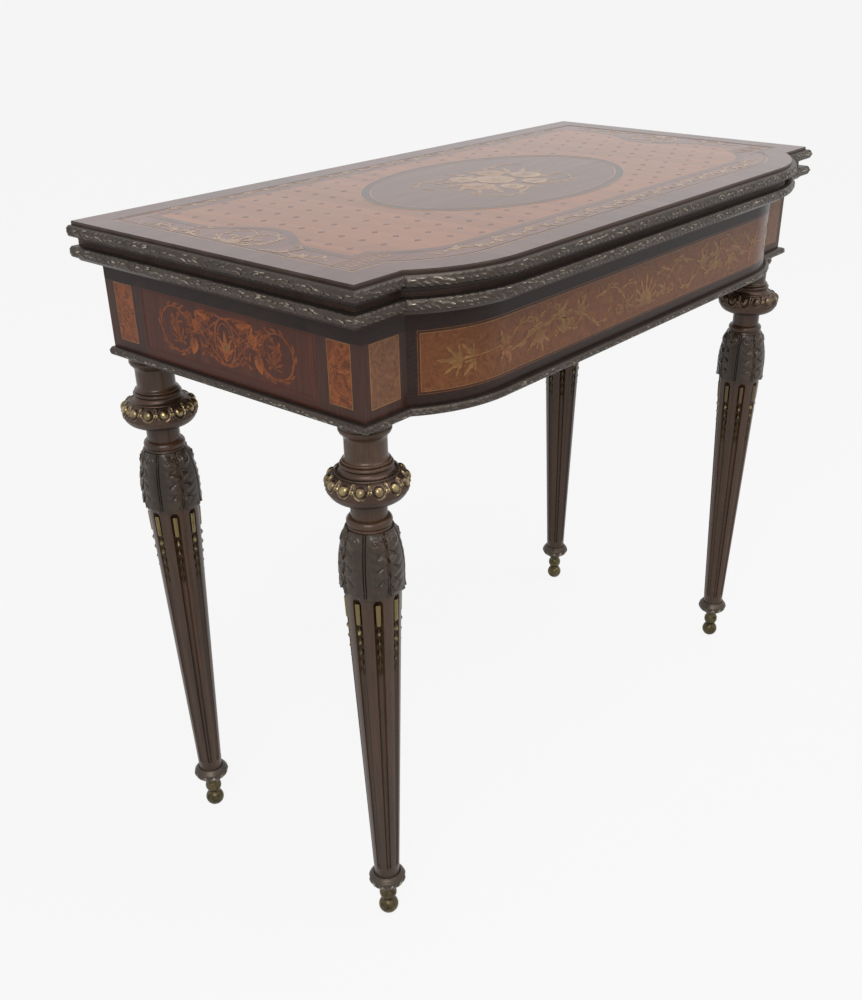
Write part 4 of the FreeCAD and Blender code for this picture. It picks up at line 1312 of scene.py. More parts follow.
@dataclass
class EndMarquetry:
    """The marquetry of one end of the frieze: an arabesque on a dark ground within a fine line."""

    side: str
    face: float = -0.18

    def arabesque(self, inlay: Inlay) -> None:
        """Lay the oval flower, its scrolls, buds and the round spirals at both ends.

        Args:
            inlay: gathers the veneers.
        """
        tone, level = Tone.PADAUK, self.face + 0.1
        inlay.ring(tone, (0, -1), (14.5, 23.5), 1.2, level)
        inlay.ring(tone, (0, -1), (10.5, 18.5), 0.6, level)
        inlay.spray(Tone.GINGER, (0, -16), math.pi / 2, (27, 6.5), level + 0.02, 5, 1.3)
        inlay.spray(Tone.GINGER, (0, -14), -math.pi / 2, (8, 4), level + 0.02, 3, 1.6)
        inlay.flower(Tone.TAN, (0, -6), 4.6, level + 0.05, 7)
        for _ in inlay.both_sides():
            inlay.scroll(tone, (3, -25.0), 0.15, 56, (0.5, 7.6), 2.4, level, 5)
            inlay.scroll(tone, (4, 22.5), 0.35, 52, (-0.6, -5.2), 2.4, level, 4)
            inlay.spray(Tone.GINGER, (37, 5), 0.75, (24, 7.0), level + 0.02, 5, 1.9, 2.5)
            inlay.spray(tone, (31, 13), 2.2, (17, 5.0), level + 0.02, 5, 1.8, 1.5)
            inlay.stem(tone, (13, -6), 1.0, 34, (-1.4, 0.6), 1.8, level)
            inlay.stem(tone, (35, 12), -0.9, 28, (0.4, -0.8), 1.6, level)
            inlay.stem(tone, (18, -16), 1.5, 34, (-0.8, 2.0), 1.4, level)
            inlay.leaf(Tone.GINGER, (47, -6), -1.45, (18, 13), level + 0.04, 0.2)
            inlay.spray(tone, (47, -5), -1.5, (11, 4.5), level + 0.05, 3, 1.6)
            inlay.leaf(Tone.GINGER, (18, 20), -0.1, (24, 8), level + 0.03, 0.5, 2.5)
            line, angles = inlay.stem(tone, (52, -14), -0.95, 124, (4.6, 6.2), 2.8, level)
            for index in range(13):
                spot = int((index + 0.5) / 13.5 * (len(line) - 1))
                way = 0.6 if index % 3 == 2 else -0.6
                inlay.leaf(tone, line[spot], angles[spot] + way, (10.5, 4.2), level + 0.01, -1.3 * way)
            inlay.scroll(tone, (61, -15), 0.5, 70, (1.9, 8.6), 2.2, level, 8, 3.6)
            inlay.spray(tone, (67, -14), 1.2, (24, 5.0), level + 0.02, 6, 2.0, 1.5)
            inlay.spray(tone, (74, 4), 2.4, (15, 4.2), level + 0.02, 4, 1.8)
            inlay.stem(tone, (11, 17), -0.5, 48, (-0.9, 2.6), 1.8, level)
            inlay.stem(tone, (11, -19), 0.7, 48, (0.9, -2.6), 1.8, level)
            sprigs = (
                (21, 8, 0.9), (22, -9, -0.4), (30, -14, -1.0), (32, 16, 1.2), (40, -12, 0.3),
                (26, 0, 2.4), (44, 14, 0.2), (38, -4, -2.2), (15, 3, 0.3), (56, 4, 1.9),
            )
            for x, y, angle in sprigs:
                inlay.leaf(tone, (x, y), angle, (12, 4.4), level + 0.03, 0.6, 1.5)

    def build(self) -> None:
        """Lay the ground, the lines and the arabesque."""
        node = self.side + "_marquetry_panel"
        low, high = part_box(node)
        outer = low.x if self.side == "left" else high.x
        sign = math.copysign(1.0, outer)
        middle = Vector((outer, (low.y + high.y) / 2, (low.z + high.z) / 2))
        ground = FlatGround(middle, Vector((0, sign, 0)), Vector((0, 0, 1)), Vector((sign, 0, 0)))
        half = ((high.y - low.y) / 2 / MM, (high.z - low.z) / 2 / MM)
        inlay = Inlay(ground)
        depth = (high.x - low.x) / MM + self.face
        inlay.patch(Tone.AMARANTH, SQUARE * np.array(half), self.face, depth)
        inner = [size - 1.4 for size in half]
        inlay.frame(Tone.RUST, inner, 0.4, self.face + 0.08)
        self.arabesque(inlay)
        inlay.pieces(self.side + "_end", "frame", "amaranth", {Tone.AMARANTH: [node]}, 0.14)


@dataclass
class FrontMarquetry:
    """The marquetry of the bowed front: leafy scrolls on an amber ground within fine lines."""

    outline: Outline
    face: float = -0.18
    back: float = -0.78
    bends: int = 160

    def scrolls(self, inlay: Inlay) -> None:
        """Lay the flowering scrolls from the ends to the palmette in the middle.

        Args:
            inlay: gathers the veneers.
        """
        tone, level = Tone.TAN, self.face + 0.1
        inlay.spray(tone, (0, -20), math.pi / 2, (38, 8), level, 9, 2.6, 2.5)
        inlay.spray(tone, (0, -14), math.pi / 2, (16, 6), level + 0.03, 5, 2.2)
        for _ in inlay.both_sides():
            inlay.spray(tone, (317, -2), 0.1, (29, 7.5), level, 5, 1.9, 2.5)
            inlay.spray(tone, (303, -1), 0.75, (22, 6.0), level, 3, 0.9, 2.5)
            inlay.spray(tone, (303, -3), -0.85, (22, 6.0), level, 3, 0.9, 2.5)
            inlay.stem(tone, (319, -2), math.pi - 0.1, 66, (0.5, -1.1), 1.3, level)
            inlay.spray(tone, (262, -3), -2.0, (21, 7), level + 0.03, 3, 1.5, 2.5)
            inlay.spray(tone, (262, -1), 1.2, (19, 7), level + 0.03, 3, 1.5, 2.5)
            inlay.leaf(Tone.COPPER, (260, -5), -2.1, (17, 8), level + 0.05)
            inlay.flower(Tone.COPPER, (261, -3), 8, level + 0.06, 6)
            inlay.scroll(tone, (257, 1), 2.3, 68, (0.7, 5.2), 1.3, level, 5, 3.6, 0.2)
            inlay.scroll(tone, (252, -8), 3.0, 108, (-0.9, 2.4), 1.5, level, 7, 4.5, 0.17)
            inlay.scroll(tone, (226, -16), 2.9, 46, (-0.6, -4.8), 1.2, level, 5, 3.2, 0.22)
            inlay.scroll(tone, (214, 8), 2.4, 72, (0.8, 5.8), 1.3, level, 5, 3.6, 0.2)
            inlay.spray(tone, (206, -4), -2.3, (25, 8.5), level + 0.02, 4, 1.5, 2.5)
            inlay.spray(tone, (172, 2), 2.6, (32, 10), level + 0.02, 4, 1.4, 2.5)
            inlay.spray(tone, (160, -14), 1.5, (33, 10), level + 0.02, 3, 1.2, 3.5)
            inlay.scroll(tone, (166, -8), -2.7, 66, (-1.2, -4.8), 1.5, level, 5, 3.6, 0.2)
            inlay.spray(tone, (132, -1), 2.0, (25, 8.5), level + 0.02, 5, 2.4, 2.5)
            inlay.scroll(tone, (118, -6), -2.4, 64, (-0.6, -5.0), 1.4, level, 5, 3.6, 0.2)
            inlay.scroll(tone, (104, 10), 2.9, 78, (-0.5, 5.6), 1.4, level, 6, 3.6, 0.2)
            inlay.scroll(tone, (58, 6), 2.6, 60, (0.6, 5.6), 1.4, level, 5, 3.6, 0.2)
            inlay.spray(tone, (44, -12), 3.0, (24, 6), level + 0.02, 4, 1.6, 2.5)
            inlay.flower(Tone.COPPER, (57, -12), 6.5, level + 0.05, 6)

    def build(self) -> None:
        """Lay the ground, the lines and the scrolls."""
        node = "front_marquetry_panel"
        low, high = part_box(node)
        plan = self.outline
        beyond = math.asin((high.x - plan.flat_half) / plan.shoulder) * plan.shoulder
        half = ((plan.flat_half + beyond) / MM, (high.z - low.z) / 2 / MM)
        ground = BowedGround(plan, (low.z + high.z) / 2)
        inlay = Inlay(ground)
        along = np.linspace(-half[0], half[0], self.bends)
        section = np.array((
            (-half[1], self.face), (half[1], self.face), (half[1], self.back), (-half[1], self.back),
        ))
        spots = np.stack(np.broadcast_arrays(along[:, None], section[:, 0]), -1)
        heights = np.broadcast_to(section[:, 1], spots.shape[:2])
        inlay.surface(Tone.AMBER).grid(ground.place(spots, heights), 1.0)
        inlay.frame(Tone.UMBER, [size - 1.6 for size in half], 0.8, self.face + 0.06)
        inlay.frame(Tone.TAN, [size - 3.0 for size in half], 0.25, self.face + 0.08)
        self.scrolls(inlay)
        inlay.pieces("front", "frame", "satinwood", {Tone.AMBER: [node]})


@dataclass
class CornerVeneers:
    """Upright burl panels on the corner posts, each within a light line."""

    width: float = 30.0
    ear_width: float = 40.0
    face: float = -0.12
    depth: float = 0.65

    def build(self) -> None:
        """Lay the six panels."""
        low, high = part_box("corner_veneers")
        tall = (high.z - low.z) / 2 / MM
        middle_z = (low.z + high.z) / 2
        up = Vector((0, 0, 1))
        burl, lines, ears = Surface(), Surface(), Surface()
        for side in ("left", "right"):
            sign = -1.0 if side == "left" else 1.0
            for end in ("front", "back"):
                post_low, post_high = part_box(f"{end}_{side}_post")
                middle = (post_low + post_high) / 2
                flank = Vector((sign * high.x, middle.y, middle_z))
                grounds = [(FlatGround(flank, Vector((0, sign, 0)), up, Vector((sign, 0, 0))), burl)]
                if end == "front":
                    face = Vector((middle.x, post_low.y, middle_z))
                    grounds.append((FlatGround(face, Vector((1, 0, 0)), up, Vector((0, -1, 0))), ears))
                for ground, veneer in grounds:
                    half = ((self.ear_width if veneer is ears else self.width) / 2, tall)
                    inlay = Inlay(ground)
                    inlay.surfaces = {Tone.AMBER: veneer, Tone.TAN: lines}
                    inlay.patch(Tone.AMBER, SQUARE * np.array(half), self.face, self.depth)
                    inlay.frame(Tone.TAN, [size - 0.5 for size in half], 0.45, self.face + 0.1)
        burl.piece("corner_burl_veneers", BURR, "frame", "burl", ["corner_veneers"])
        ears.piece("ear_burl_veneers", EAR_BURR, "frame", "burl", ["corner_veneers"])
        lines.piece("corner_string_lines", Tone.TAN.value, "frame", "burl")


def arc_points(start: Sequence[float], way: Sequence[float], end: Sequence[float],
               count: int) -> np.ndarray:
    """Give points on the arc through three points.

    Args:
        start: first point.
        way: a point on the arc.
        end: last point.
        count: how many points.

    Returns:
        The points, one row each.
    """
    a, b, c = (np.array(point, float) for point in (start, way, end))
    matrix = 2 * np.array((b - a, c - a))
    middle = np.linalg.solve(matrix, np.array((b @ b - a @ a, c @ c - a @ a)))
    angles = np.unwrap([math.atan2(*(point - middle)[::-1]) for point in (a, b, c)])
    turn = np.linspace(angles[0], angles[2], count)
    return middle + heading(turn) * np.linalg.norm(a - middle)


def revolve(profile: np.ndarray, sides: int) -> tuple[np.ndarray, np.ndarray]:
    """Give the radius and angle nets of a turned profile.

    Args:
        profile: radius and height of each row.
        sides: points round the turning.

    Returns:
        Angles by column, and a copy of the radii by row and column.
    """
    turn = np.linspace(0, 2 * math.pi, sides + 1)[:-1]
    return turn, np.repeat(profile[:, :1], sides, 1)


@dataclass
class Leg:
    """One turned leg with its neck, collar, carved leaves, flutes, brass drops and foot, in millimetres."""

    corner: str
    turn: float
    shaft_foot: tuple[float, float] = (14.6, 66.0)
    shaft_top: tuple[float, float] = (29.0, 448.0)
    vase_way: tuple[float, float] = (29.8, 491.8)
    vase_top: tuple[float, float] = (21.5, 521.0)
    torus_way: tuple[float, float] = (23.0, 525.5)
    neck_foot: tuple[float, float] = (18.3, 530.0)
    collar_foot_z: float = 550.0
    neck_base_z: float = 583.0
    frame_z: float = 628.0
    foot_z: float = 47.0
    bore: float = 12.1
    foot_bore: float = 9.05
    turned_wear: float = 0.8
    flutes: int = 8
    flute_top: tuple[float, float] = (5.0, 442.0)
    flute_foot: tuple[float, float] = (2.6, 80.0)
    flute_shade: float = 0.42
    eggs: int = 14
    egg_z: float = 570.5
    egg_size: tuple[float, float] = (4.9, 5.3)
    egg_columns: int = 26
    leaf_top_z: float = 519.0
    leaf_tip_z: float = 452.0
    leaf_spread: float = 43.0
    leaf_net: tuple[int, int] = (88, 67)
    leaves: int = 4
    bar_low_z: float = 417.0
    drop_low_z: float = 352.0
    ball: tuple[float, float, float] = (11.6, 4.0, 6.4)
    husk: tuple[tuple[float, float], ...] = (
        (0.1, 0.0), (0.34, 0.05), (0.2, 0.14), (0.62, 0.3),
        (1.0, 0.52), (0.72, 0.72), (0.3, 0.86), (0.12, 1.0),
    )
    gilding: Metal = GILT
    bar_brass: Metal = FLUTE_BRASS
    spot: Vector = field(init=False)

    def __post_init__(self) -> None:
        """Find the leg's axis in the frame."""
        low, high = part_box(self.corner + "_leg_collar")
        self.spot = (low + high) / 2

    def stand(self, radius: np.ndarray, angle: np.ndarray, height: np.ndarray) -> np.ndarray:
        """Give places about the leg's axis from radius, angle and height.

        Args:
            radius: millimetres from the axis.
            angle: radians about it.
            height: millimetres above the floor.

        Returns:
            x, y and z of each place.
        """
        radius, angle, height = np.broadcast_arrays(radius, angle, height)
        x = self.spot.x + radius * np.cos(angle) * MM
        y = self.spot.y + radius * np.sin(angle) * MM
        return np.stack([x, y, height * MM], -1)

    def lathe(self, profile: np.ndarray, sides: int = 72) -> Surface:
        """Give a plain turning of a profile of radius and height.

        Args:
            profile: radius and height of each row.
            sides: points round the turning.

        Returns:
            The turned surface.
        """
        turn, radii = revolve(profile, sides)
        return Surface.net(self.stand(radii, turn, profile[:, 1:]), self.turned_wear)

    def vase_radius(self, height: np.ndarray) -> np.ndarray:
        """Give the radius of the vase and shaft at a height."""
        vase = arc_points(self.shaft_top, self.vase_way, self.vase_top, 40)
        return np.interp(height, [self.shaft_foot[1], *vase[:, 1]], [self.shaft_foot[0], *vase[:, 0]])

    def flute_radius(self, height: np.ndarray) -> np.ndarray:
        """Give the radius of the flutes' tool at a height, rounded off at both ends.

        Args:
            height: millimetres above the floor.

        Returns:
            The radius, 0 beyond the ends.
        """
        (top, top_z), (foot, foot_z) = self.flute_top, self.flute_foot
        tool = np.interp(height, [foot_z, top_z], [foot, top])
        beyond = np.maximum(height - top_z, foot_z - height)
        return np.sqrt(np.clip(tool ** 2 - np.clip(beyond, 0, None) ** 2, 0, None))

    def shaft(self) -> None:
        """Build the fluted shaft with the vase and rings above it."""
        (top, top_z), (foot, foot_z) = self.flute_top, self.flute_foot
        ends = np.linspace(-1, 1, 13)
        heights = np.concatenate([
            [self.foot_z + 2, self.shaft_foot[1]], foot_z + foot * ends,
            np.linspace(foot_z + 6, top_z - 8, 40), top_z + top * ends, [self.shaft_top[1]],
        ])
        heights = np.unique(np.round(heights, 3))
        rows = np.stack([self.vase_radius(heights), heights], 1)
        vase = arc_points(self.shaft_top, self.vase_way, self.vase_top, 24)
        torus = arc_points(self.vase_top, self.torus_way, self.neck_foot, 14)
        rows = np.concatenate([rows, vase[1:], torus[1:], [(self.neck_foot[0], self.collar_foot_z + 3)]])
        radius, height = rows[:, :1], rows[:, 1:]
        on_shaft = (height <= self.shaft_top[1]).astype(float)
        tool = self.flute_radius(height) * on_shaft
        wide = np.interp(height, [foot_z, top_z], [foot, top]) / radius
        wide = np.where(tool > 0, np.maximum(tool / radius, 0.004), wide)
        sweep = np.linspace(-math.pi / 2, math.pi / 2, 11)
        sector = 2 * math.pi / self.flutes
        land = np.linspace(0, 1, 8)[1:-1]
        angles, depths = [], []
        for index in range(self.flutes):
            middle = index * sector + self.turn
            angles += [middle + wide * np.sin(sweep), middle + wide + (sector - 2 * wide) * land]
            depths += [tool * np.cos(sweep), np.zeros((len(rows), len(land)))]
        angle, depth = np.concatenate(angles, 1), np.concatenate(depths, 1)
        # Painted shade: the wood darkens towards the bottom of each flute.
        brightness = 1 - self.flute_shade * depth / np.maximum(tool, 1.0)
        surface = Surface.net(self.stand(radius - depth, angle, height), brightness)
        node = self.corner + "_leg"
        surface.piece(node + "_fluted", STAINED, "frame", "ebonised", [node], 55.0)

    def acanthus_leaf(self, surface: Surface, middle: float, wide: float, proud: float) -> None:
        """Add one carved leaf that hangs over the vase.

        Args:
            surface: gathers it.
            middle: the angle of its midrib.
            wide: half its width, in degrees.
            proud: how far its face stands off the vase.
        """
        rows, columns = self.leaf_net
        share = np.linspace(0, 1, rows)[:, None]
        spread = np.linspace(-1, 1, columns)[None, :]
        aside = np.sign(spread) * np.abs(spread) ** 1.25
        flank = np.abs(aside)
        long = self.leaf_top_z - self.leaf_tip_z
        teeth = np.abs(np.cos(math.pi * 4.5 * share))
        height = self.leaf_top_z - long * share
        half = self.vase_radius(height) * math.radians(wide)
        half = half * np.interp(share, [0, 0.3, 0.8, 0.93, 1], [0.98, 1.0, 0.98, 0.76, 0.25])
        half = half * (0.93 + 0.07 * teeth)
        height = height - 2.0 * flank ** 2 * share
        across = half * aside
        grooves = np.exp(-((np.abs(across) - 1.1) / 0.5) ** 2)
        ribs = np.cos(9 * math.pi * (share - 0.2 * flank)) * np.clip(flank - 0.45, 0, 1) ** 1.2
        down, out = (share - 0.13) * long, np.abs(across) - 0.56 * half
        from_volute = np.hypot(down, out)
        winding = np.cos(2 * math.pi * from_volute / 3.2 - np.arctan2(down, out))
        coil = winding * np.exp(-(from_volute / 5.0) ** 4)
        volute = 1.5 * np.exp(-(from_volute / 6.0) ** 4) + 0.75 * coil
        cuts = np.zeros_like(across)
        for notch in (0.38, 0.58, 0.8):
            inward = np.clip(flank - 0.5, 0, 1)
            from_slit = (share - notch) * long + inward * 16
            cuts = np.maximum(cuts, np.exp(-(from_slit / 1.7) ** 2) * np.clip(inward * 5, 0, 1))
        flare = 3.6 * np.clip((share - 0.78) / 0.22, 0, 1) ** 2 * (0.4 + 0.6 * flank)
        veins = np.cos(2 * math.pi * (7.5 * share - 1.1 * flank)) * np.clip(flank * 2.4 - 0.5, 0, 1)
        crisp = 1.6 * ribs + volute - 1.2 * grooves - 2.2 * cuts + 0.9 * teeth * flank ** 2 + 0.45 * veins
        lift = np.maximum(proud + 1.4 * (1 - flank ** 2) + crisp, -0.6) + flare
        base = self.vase_radius(height)
        # Painted shade and highlight: darker in the grooves, cuts and hollows, lighter on raised ribs,
        # volutes and edges, and fully dark on the leaf's underside.
        brightness = np.clip(0.42 + 0.36 * crisp + 0.22 * flank ** 3, 0, 1)
        angle = middle + across / base
        outer = self.stand(base + lift, angle, height)
        inner = self.stand(base + np.minimum(flare - 1.4, lift - 1.0), angle, height)[:, ::-1]
        surface.grid(np.concatenate([outer, inner], 1), np.concatenate([brightness, brightness * 0], 1))

    def acanthus(self) -> None:
        """Build the carved leaves of the vase, with narrow ones showing between them."""
        surface = Surface()
        sector = 2 * math.pi / self.leaves
        for index in range(self.leaves):
            self.acanthus_leaf(surface, (index + 0.25) * sector + self.turn, self.leaf_spread, 0.9)
            self.acanthus_leaf(surface, (index + 0.75) * sector + self.turn, 0.4 * self.leaf_spread, -0.7)
        surface.piece(self.corner + "_leg_acanthus", CARVED, "frame", "ebonised", (), 60.0)

    def neck(self) -> None:
        """Build the plain neck under the frame, with its double ring."""
        base, top = self.neck_base_z, self.frame_z
        rows = [
            [(self.bore, base)], [(23.4, base)],
            arc_points((24.4, base), (26.4, base + 2.2), (24.4, base + 4.4), 9),
            arc_points((23.0, base + 4.6), (24.2, base + 6.0), (23.0, base + 7.4), 7),
            arc_points((22.6, base + 7.6), (21.3, base + 9.4), (21.0, base + 12.0), 7),
            [(21.0, top - 19)], arc_points((21.0, top - 19), (21.9, top - 13.6), (24.8, top - 10), 9),
            arc_points((24.8, top - 9.4), (26.0, top - 7), (24.8, top - 4.6), 7),
            [(25.6, top - 4.0)], [(25.6, top)], [(self.bore, top)],
        ]
        surface = self.lathe(np.concatenate(rows))
        node = self.corner + "_leg_neck"
        surface.piece(node + "_turned", STAINED, "frame", "ebonised", [node], 30.0)

    def collar(self) -> None:
        """Build the gilt collar with its eggs, darts and plain rims."""
        foot, top = self.collar_foot_z, self.neck_base_z
        bowl = arc_points((21.0, foot), (40.4, foot + 16.0), (31.6, top - 6.0), 64)
        rim = arc_points((31.6, top - 6.0), (30.6, top - 4.8), (29.3, top - 5.4), 6)
        cove = arc_points((29.3, top - 5.4), (26.4, top - 3.8), (25.0, top - 0.2), 9)
        rows = np.concatenate([[(self.bore, foot)], bowl, rim[1:], cove[1:], [(self.bore, top - 0.2)]])
        turn, radii = revolve(rows, self.eggs * self.egg_columns)
        height = rows[:, 1:]
        along = np.concatenate([[0], np.cumsum(np.linalg.norm(np.diff(rows, axis=0), axis=1))])[:, None]
        past_widest = int(np.argmax(rows[:, 0]))
        up = along - np.interp(self.egg_z, height[past_widest:64, 0], along[past_widest:64, 0])
        sector = 2 * math.pi / self.eggs
        from_egg = ((turn - self.turn + sector / 2) % sector - sector / 2)[None, :] * radii
        from_dart = ((turn - self.turn) % sector - sector / 2)[None, :] * radii
        spread = np.hypot(from_egg / self.egg_size[0], up / self.egg_size[1])
        egg = np.sqrt(np.clip(1 - spread ** 2, 0, 1))
        cup_spread = np.hypot(from_egg / self.egg_size[0], np.minimum(up, 0.0) / self.egg_size[1])
        band = np.clip(9.4 - up, 0, 1) * np.clip(up + 8.6, 0, 1)
        shell = np.exp(-((cup_spread - 1.4) / 0.15) ** 2) * band
        dart = np.exp(-(np.hypot(from_dart, up + 0.6) / 1.75) ** 4)
        tongue = np.exp(-(from_dart / 0.7) ** 2) * np.clip(7.4 - np.abs(up), 0, 1)
        eye = np.exp(-(from_dart ** 2 + (up + 0.6) ** 2) / 0.45)
        scallop = np.exp(-((up + 10.4) / 1.4) ** 2) * (0.35 + 0.65 * np.abs(np.cos(turn * self.eggs)))
        on_bowl = (along > along[4]) & (height < top - 5.6)
        rise = (2.9 * egg + 1.3 * shell + 1.5 * dart + 0.6 * tongue - 2.0 * eye + 0.8 * scallop) * on_bowl
        brightness = 0.82 * egg ** 0.5 + 0.78 * shell + 0.95 * dart + 0.5 * tongue - 1.3 * eye + 0.35 * scallop
        brightness = np.clip(brightness, 0, 1) * on_bowl
        slope = np.gradient(rows, axis=0)
        slope /= np.linalg.norm(slope, axis=1, keepdims=True)
        places = self.stand(radii + rise * slope[:, 1:], turn, height - rise * slope[:, :1])
        node = self.corner + "_leg_collar"
        surface = Surface.net(places, brightness)
        surface.piece(self.corner + "_collar_cast", self.gilding, "frame", "bronze", [node], 50.0)

    def foot(self) -> None:
        """Build the leaf ring, the reel and the ball that the leg stands on."""
        top, foot = self.shaft_foot[1], self.foot_z
        bulge = arc_points((12.0, foot), (20.6, foot + 9.0), (17.0, top - 2.4), 30)
        lip = arc_points((17.0, top - 2.4), (16.4, top - 1.4), (15.2, top - 1.6), 5)
        ends = [(14.9, top), (self.foot_bore, top)]
        rows = np.concatenate([[(self.foot_bore, foot)], bulge, lip[1:], ends])
        turn, radii = revolve(rows, 180)
        height = rows[:, 1:]
        share = np.clip((height - foot) / (top - foot), 0, 1)
        wave = np.abs(np.cos(turn * 6 + self.turn))[None, :]
        tip = np.clip((wave ** 0.8 - 1.55 * share) * 4, 0, 1)
        vein = np.exp(-((wave - 1.0) / 0.02) ** 2)
        ridge = np.exp(-((share - 0.62) / 0.07) ** 2)
        on_bulge = (share > 0.02) * (share < 0.86)
        rise = (1.7 * tip * (0.4 + share) - 0.5 * vein * tip + 0.7 * ridge) * on_bulge
        brightness = np.clip(1.1 * tip * (0.3 + share) + 0.3 * ridge, 0, 1)
        surface = Surface.net(self.stand(radii + rise, turn, height), brightness)
        surface.piece(self.corner + "_foot_ring_cast", BRONZE, "frame", "bronze", ["foot_rings"], 50.0)
        ball, flat, waist = self.ball
        middle = math.sqrt(ball ** 2 - flat ** 2)
        crown = middle + math.sqrt(ball ** 2 - waist ** 2)
        rows = np.concatenate([
            [(0.4, 0.0)], arc_points((flat, 0.0), (ball, middle), (waist, crown), 28),
            arc_points((6.6, crown + 0.2), (7.6, crown + 1.0), (6.9, crown + 1.8), 7),
            arc_points((7.0, crown + 2.0), (10.2, crown + 9.0), (8.6, crown + 15.6), 14),
            arc_points((8.2, crown + 16.2), (7.8, crown + 18.4), (9.0, foot - 4.6), 7),
            arc_points((10.0, foot - 4.4), (11.2, foot - 2.2), (10.4, foot), 7), [(0.4, foot)],
        ])
        surface = self.lathe(rows, 56)
        node = self.corner + "_ball_foot"
        surface.piece(node + "_turned", FOOT_BRASS, "frame", "brass", [node], 40.0)

    def drops(self) -> None:
        """Build the brass bar and the string of husks in each flute."""
        bars, husks = Surface(), Surface()
        around = np.linspace(0, 2 * math.pi, 13)[:-1]
        top_z = self.flute_top[1]
        husk_ends = np.linspace(self.bar_low_z - 3, self.drop_low_z, 6)
        for index in range(self.flutes):
            middle = index * 2 * math.pi / self.flutes + self.turn
            rows = [(0.2, top_z + 0.2), (0.8, top_z), (1.0, top_z - 1.2), (1.0, self.bar_low_z + 1.2),
                    (0.8, self.bar_low_z), (0.2, self.bar_low_z - 0.2)]
            self.rod(bars, middle, rows, around, 0.62)
            for high, low in zip(husk_ends, husk_ends[1:]):
                long = high - low
                shrink = 0.42 + 0.58 * (low - self.drop_low_z) / (self.bar_low_z - self.drop_low_z)
                rows = [(wide * shrink, high - long * drop) for wide, drop in self.husk]
                self.rod(husks, middle, rows, around, 0.66, 0.3)
        bars.piece(self.corner + "_flute_bars", self.bar_brass, "frame", "brass", ["flute_mounts"], 40.0)
        husks.piece(self.corner + "_flute_husks", BRASS, "frame", "brass", ["flute_mounts"], 60.0)

    def rod(self, surface: Surface, middle: float, rows: Sequence[tuple[float, float]], around: np.ndarray,
            fill: float, lobes: float = 0.0) -> None:
        """Add a small turning that lies in a flute.

        Args:
            surface: gathers it.
            middle: the flute's angle.
            rows: share of the rod's radius, and height, from the top down.
            around: angles of its section.
            fill: its radius as a share of the flute's.
            lobes: how deep its three petals are cut.
        """
        share, height = np.array(rows)[:, :1], np.array(rows)[:, 1:]
        (top, top_z), (foot, foot_z) = self.flute_top, self.flute_foot
        tool = np.interp(height, [foot_z, top_z], [foot, top])
        thick = tool * fill * share * (1 + lobes * np.cos(3 * around) * (share > 0.4))
        axis = self.vase_radius(height) - tool * (1 - fill)
        inward = axis + thick * np.cos(around)
        aside = thick * np.sin(around)
        angle = middle + np.arctan2(aside, inward)
        surface.grid(self.stand(np.hypot(inward, aside), angle, height), share * 0.9)

    def build(self) -> None:
        """Build the whole leg."""
        self.shaft()
        self.acanthus()
        self.neck()
        self.collar()
        self.foot()
        self.drops()


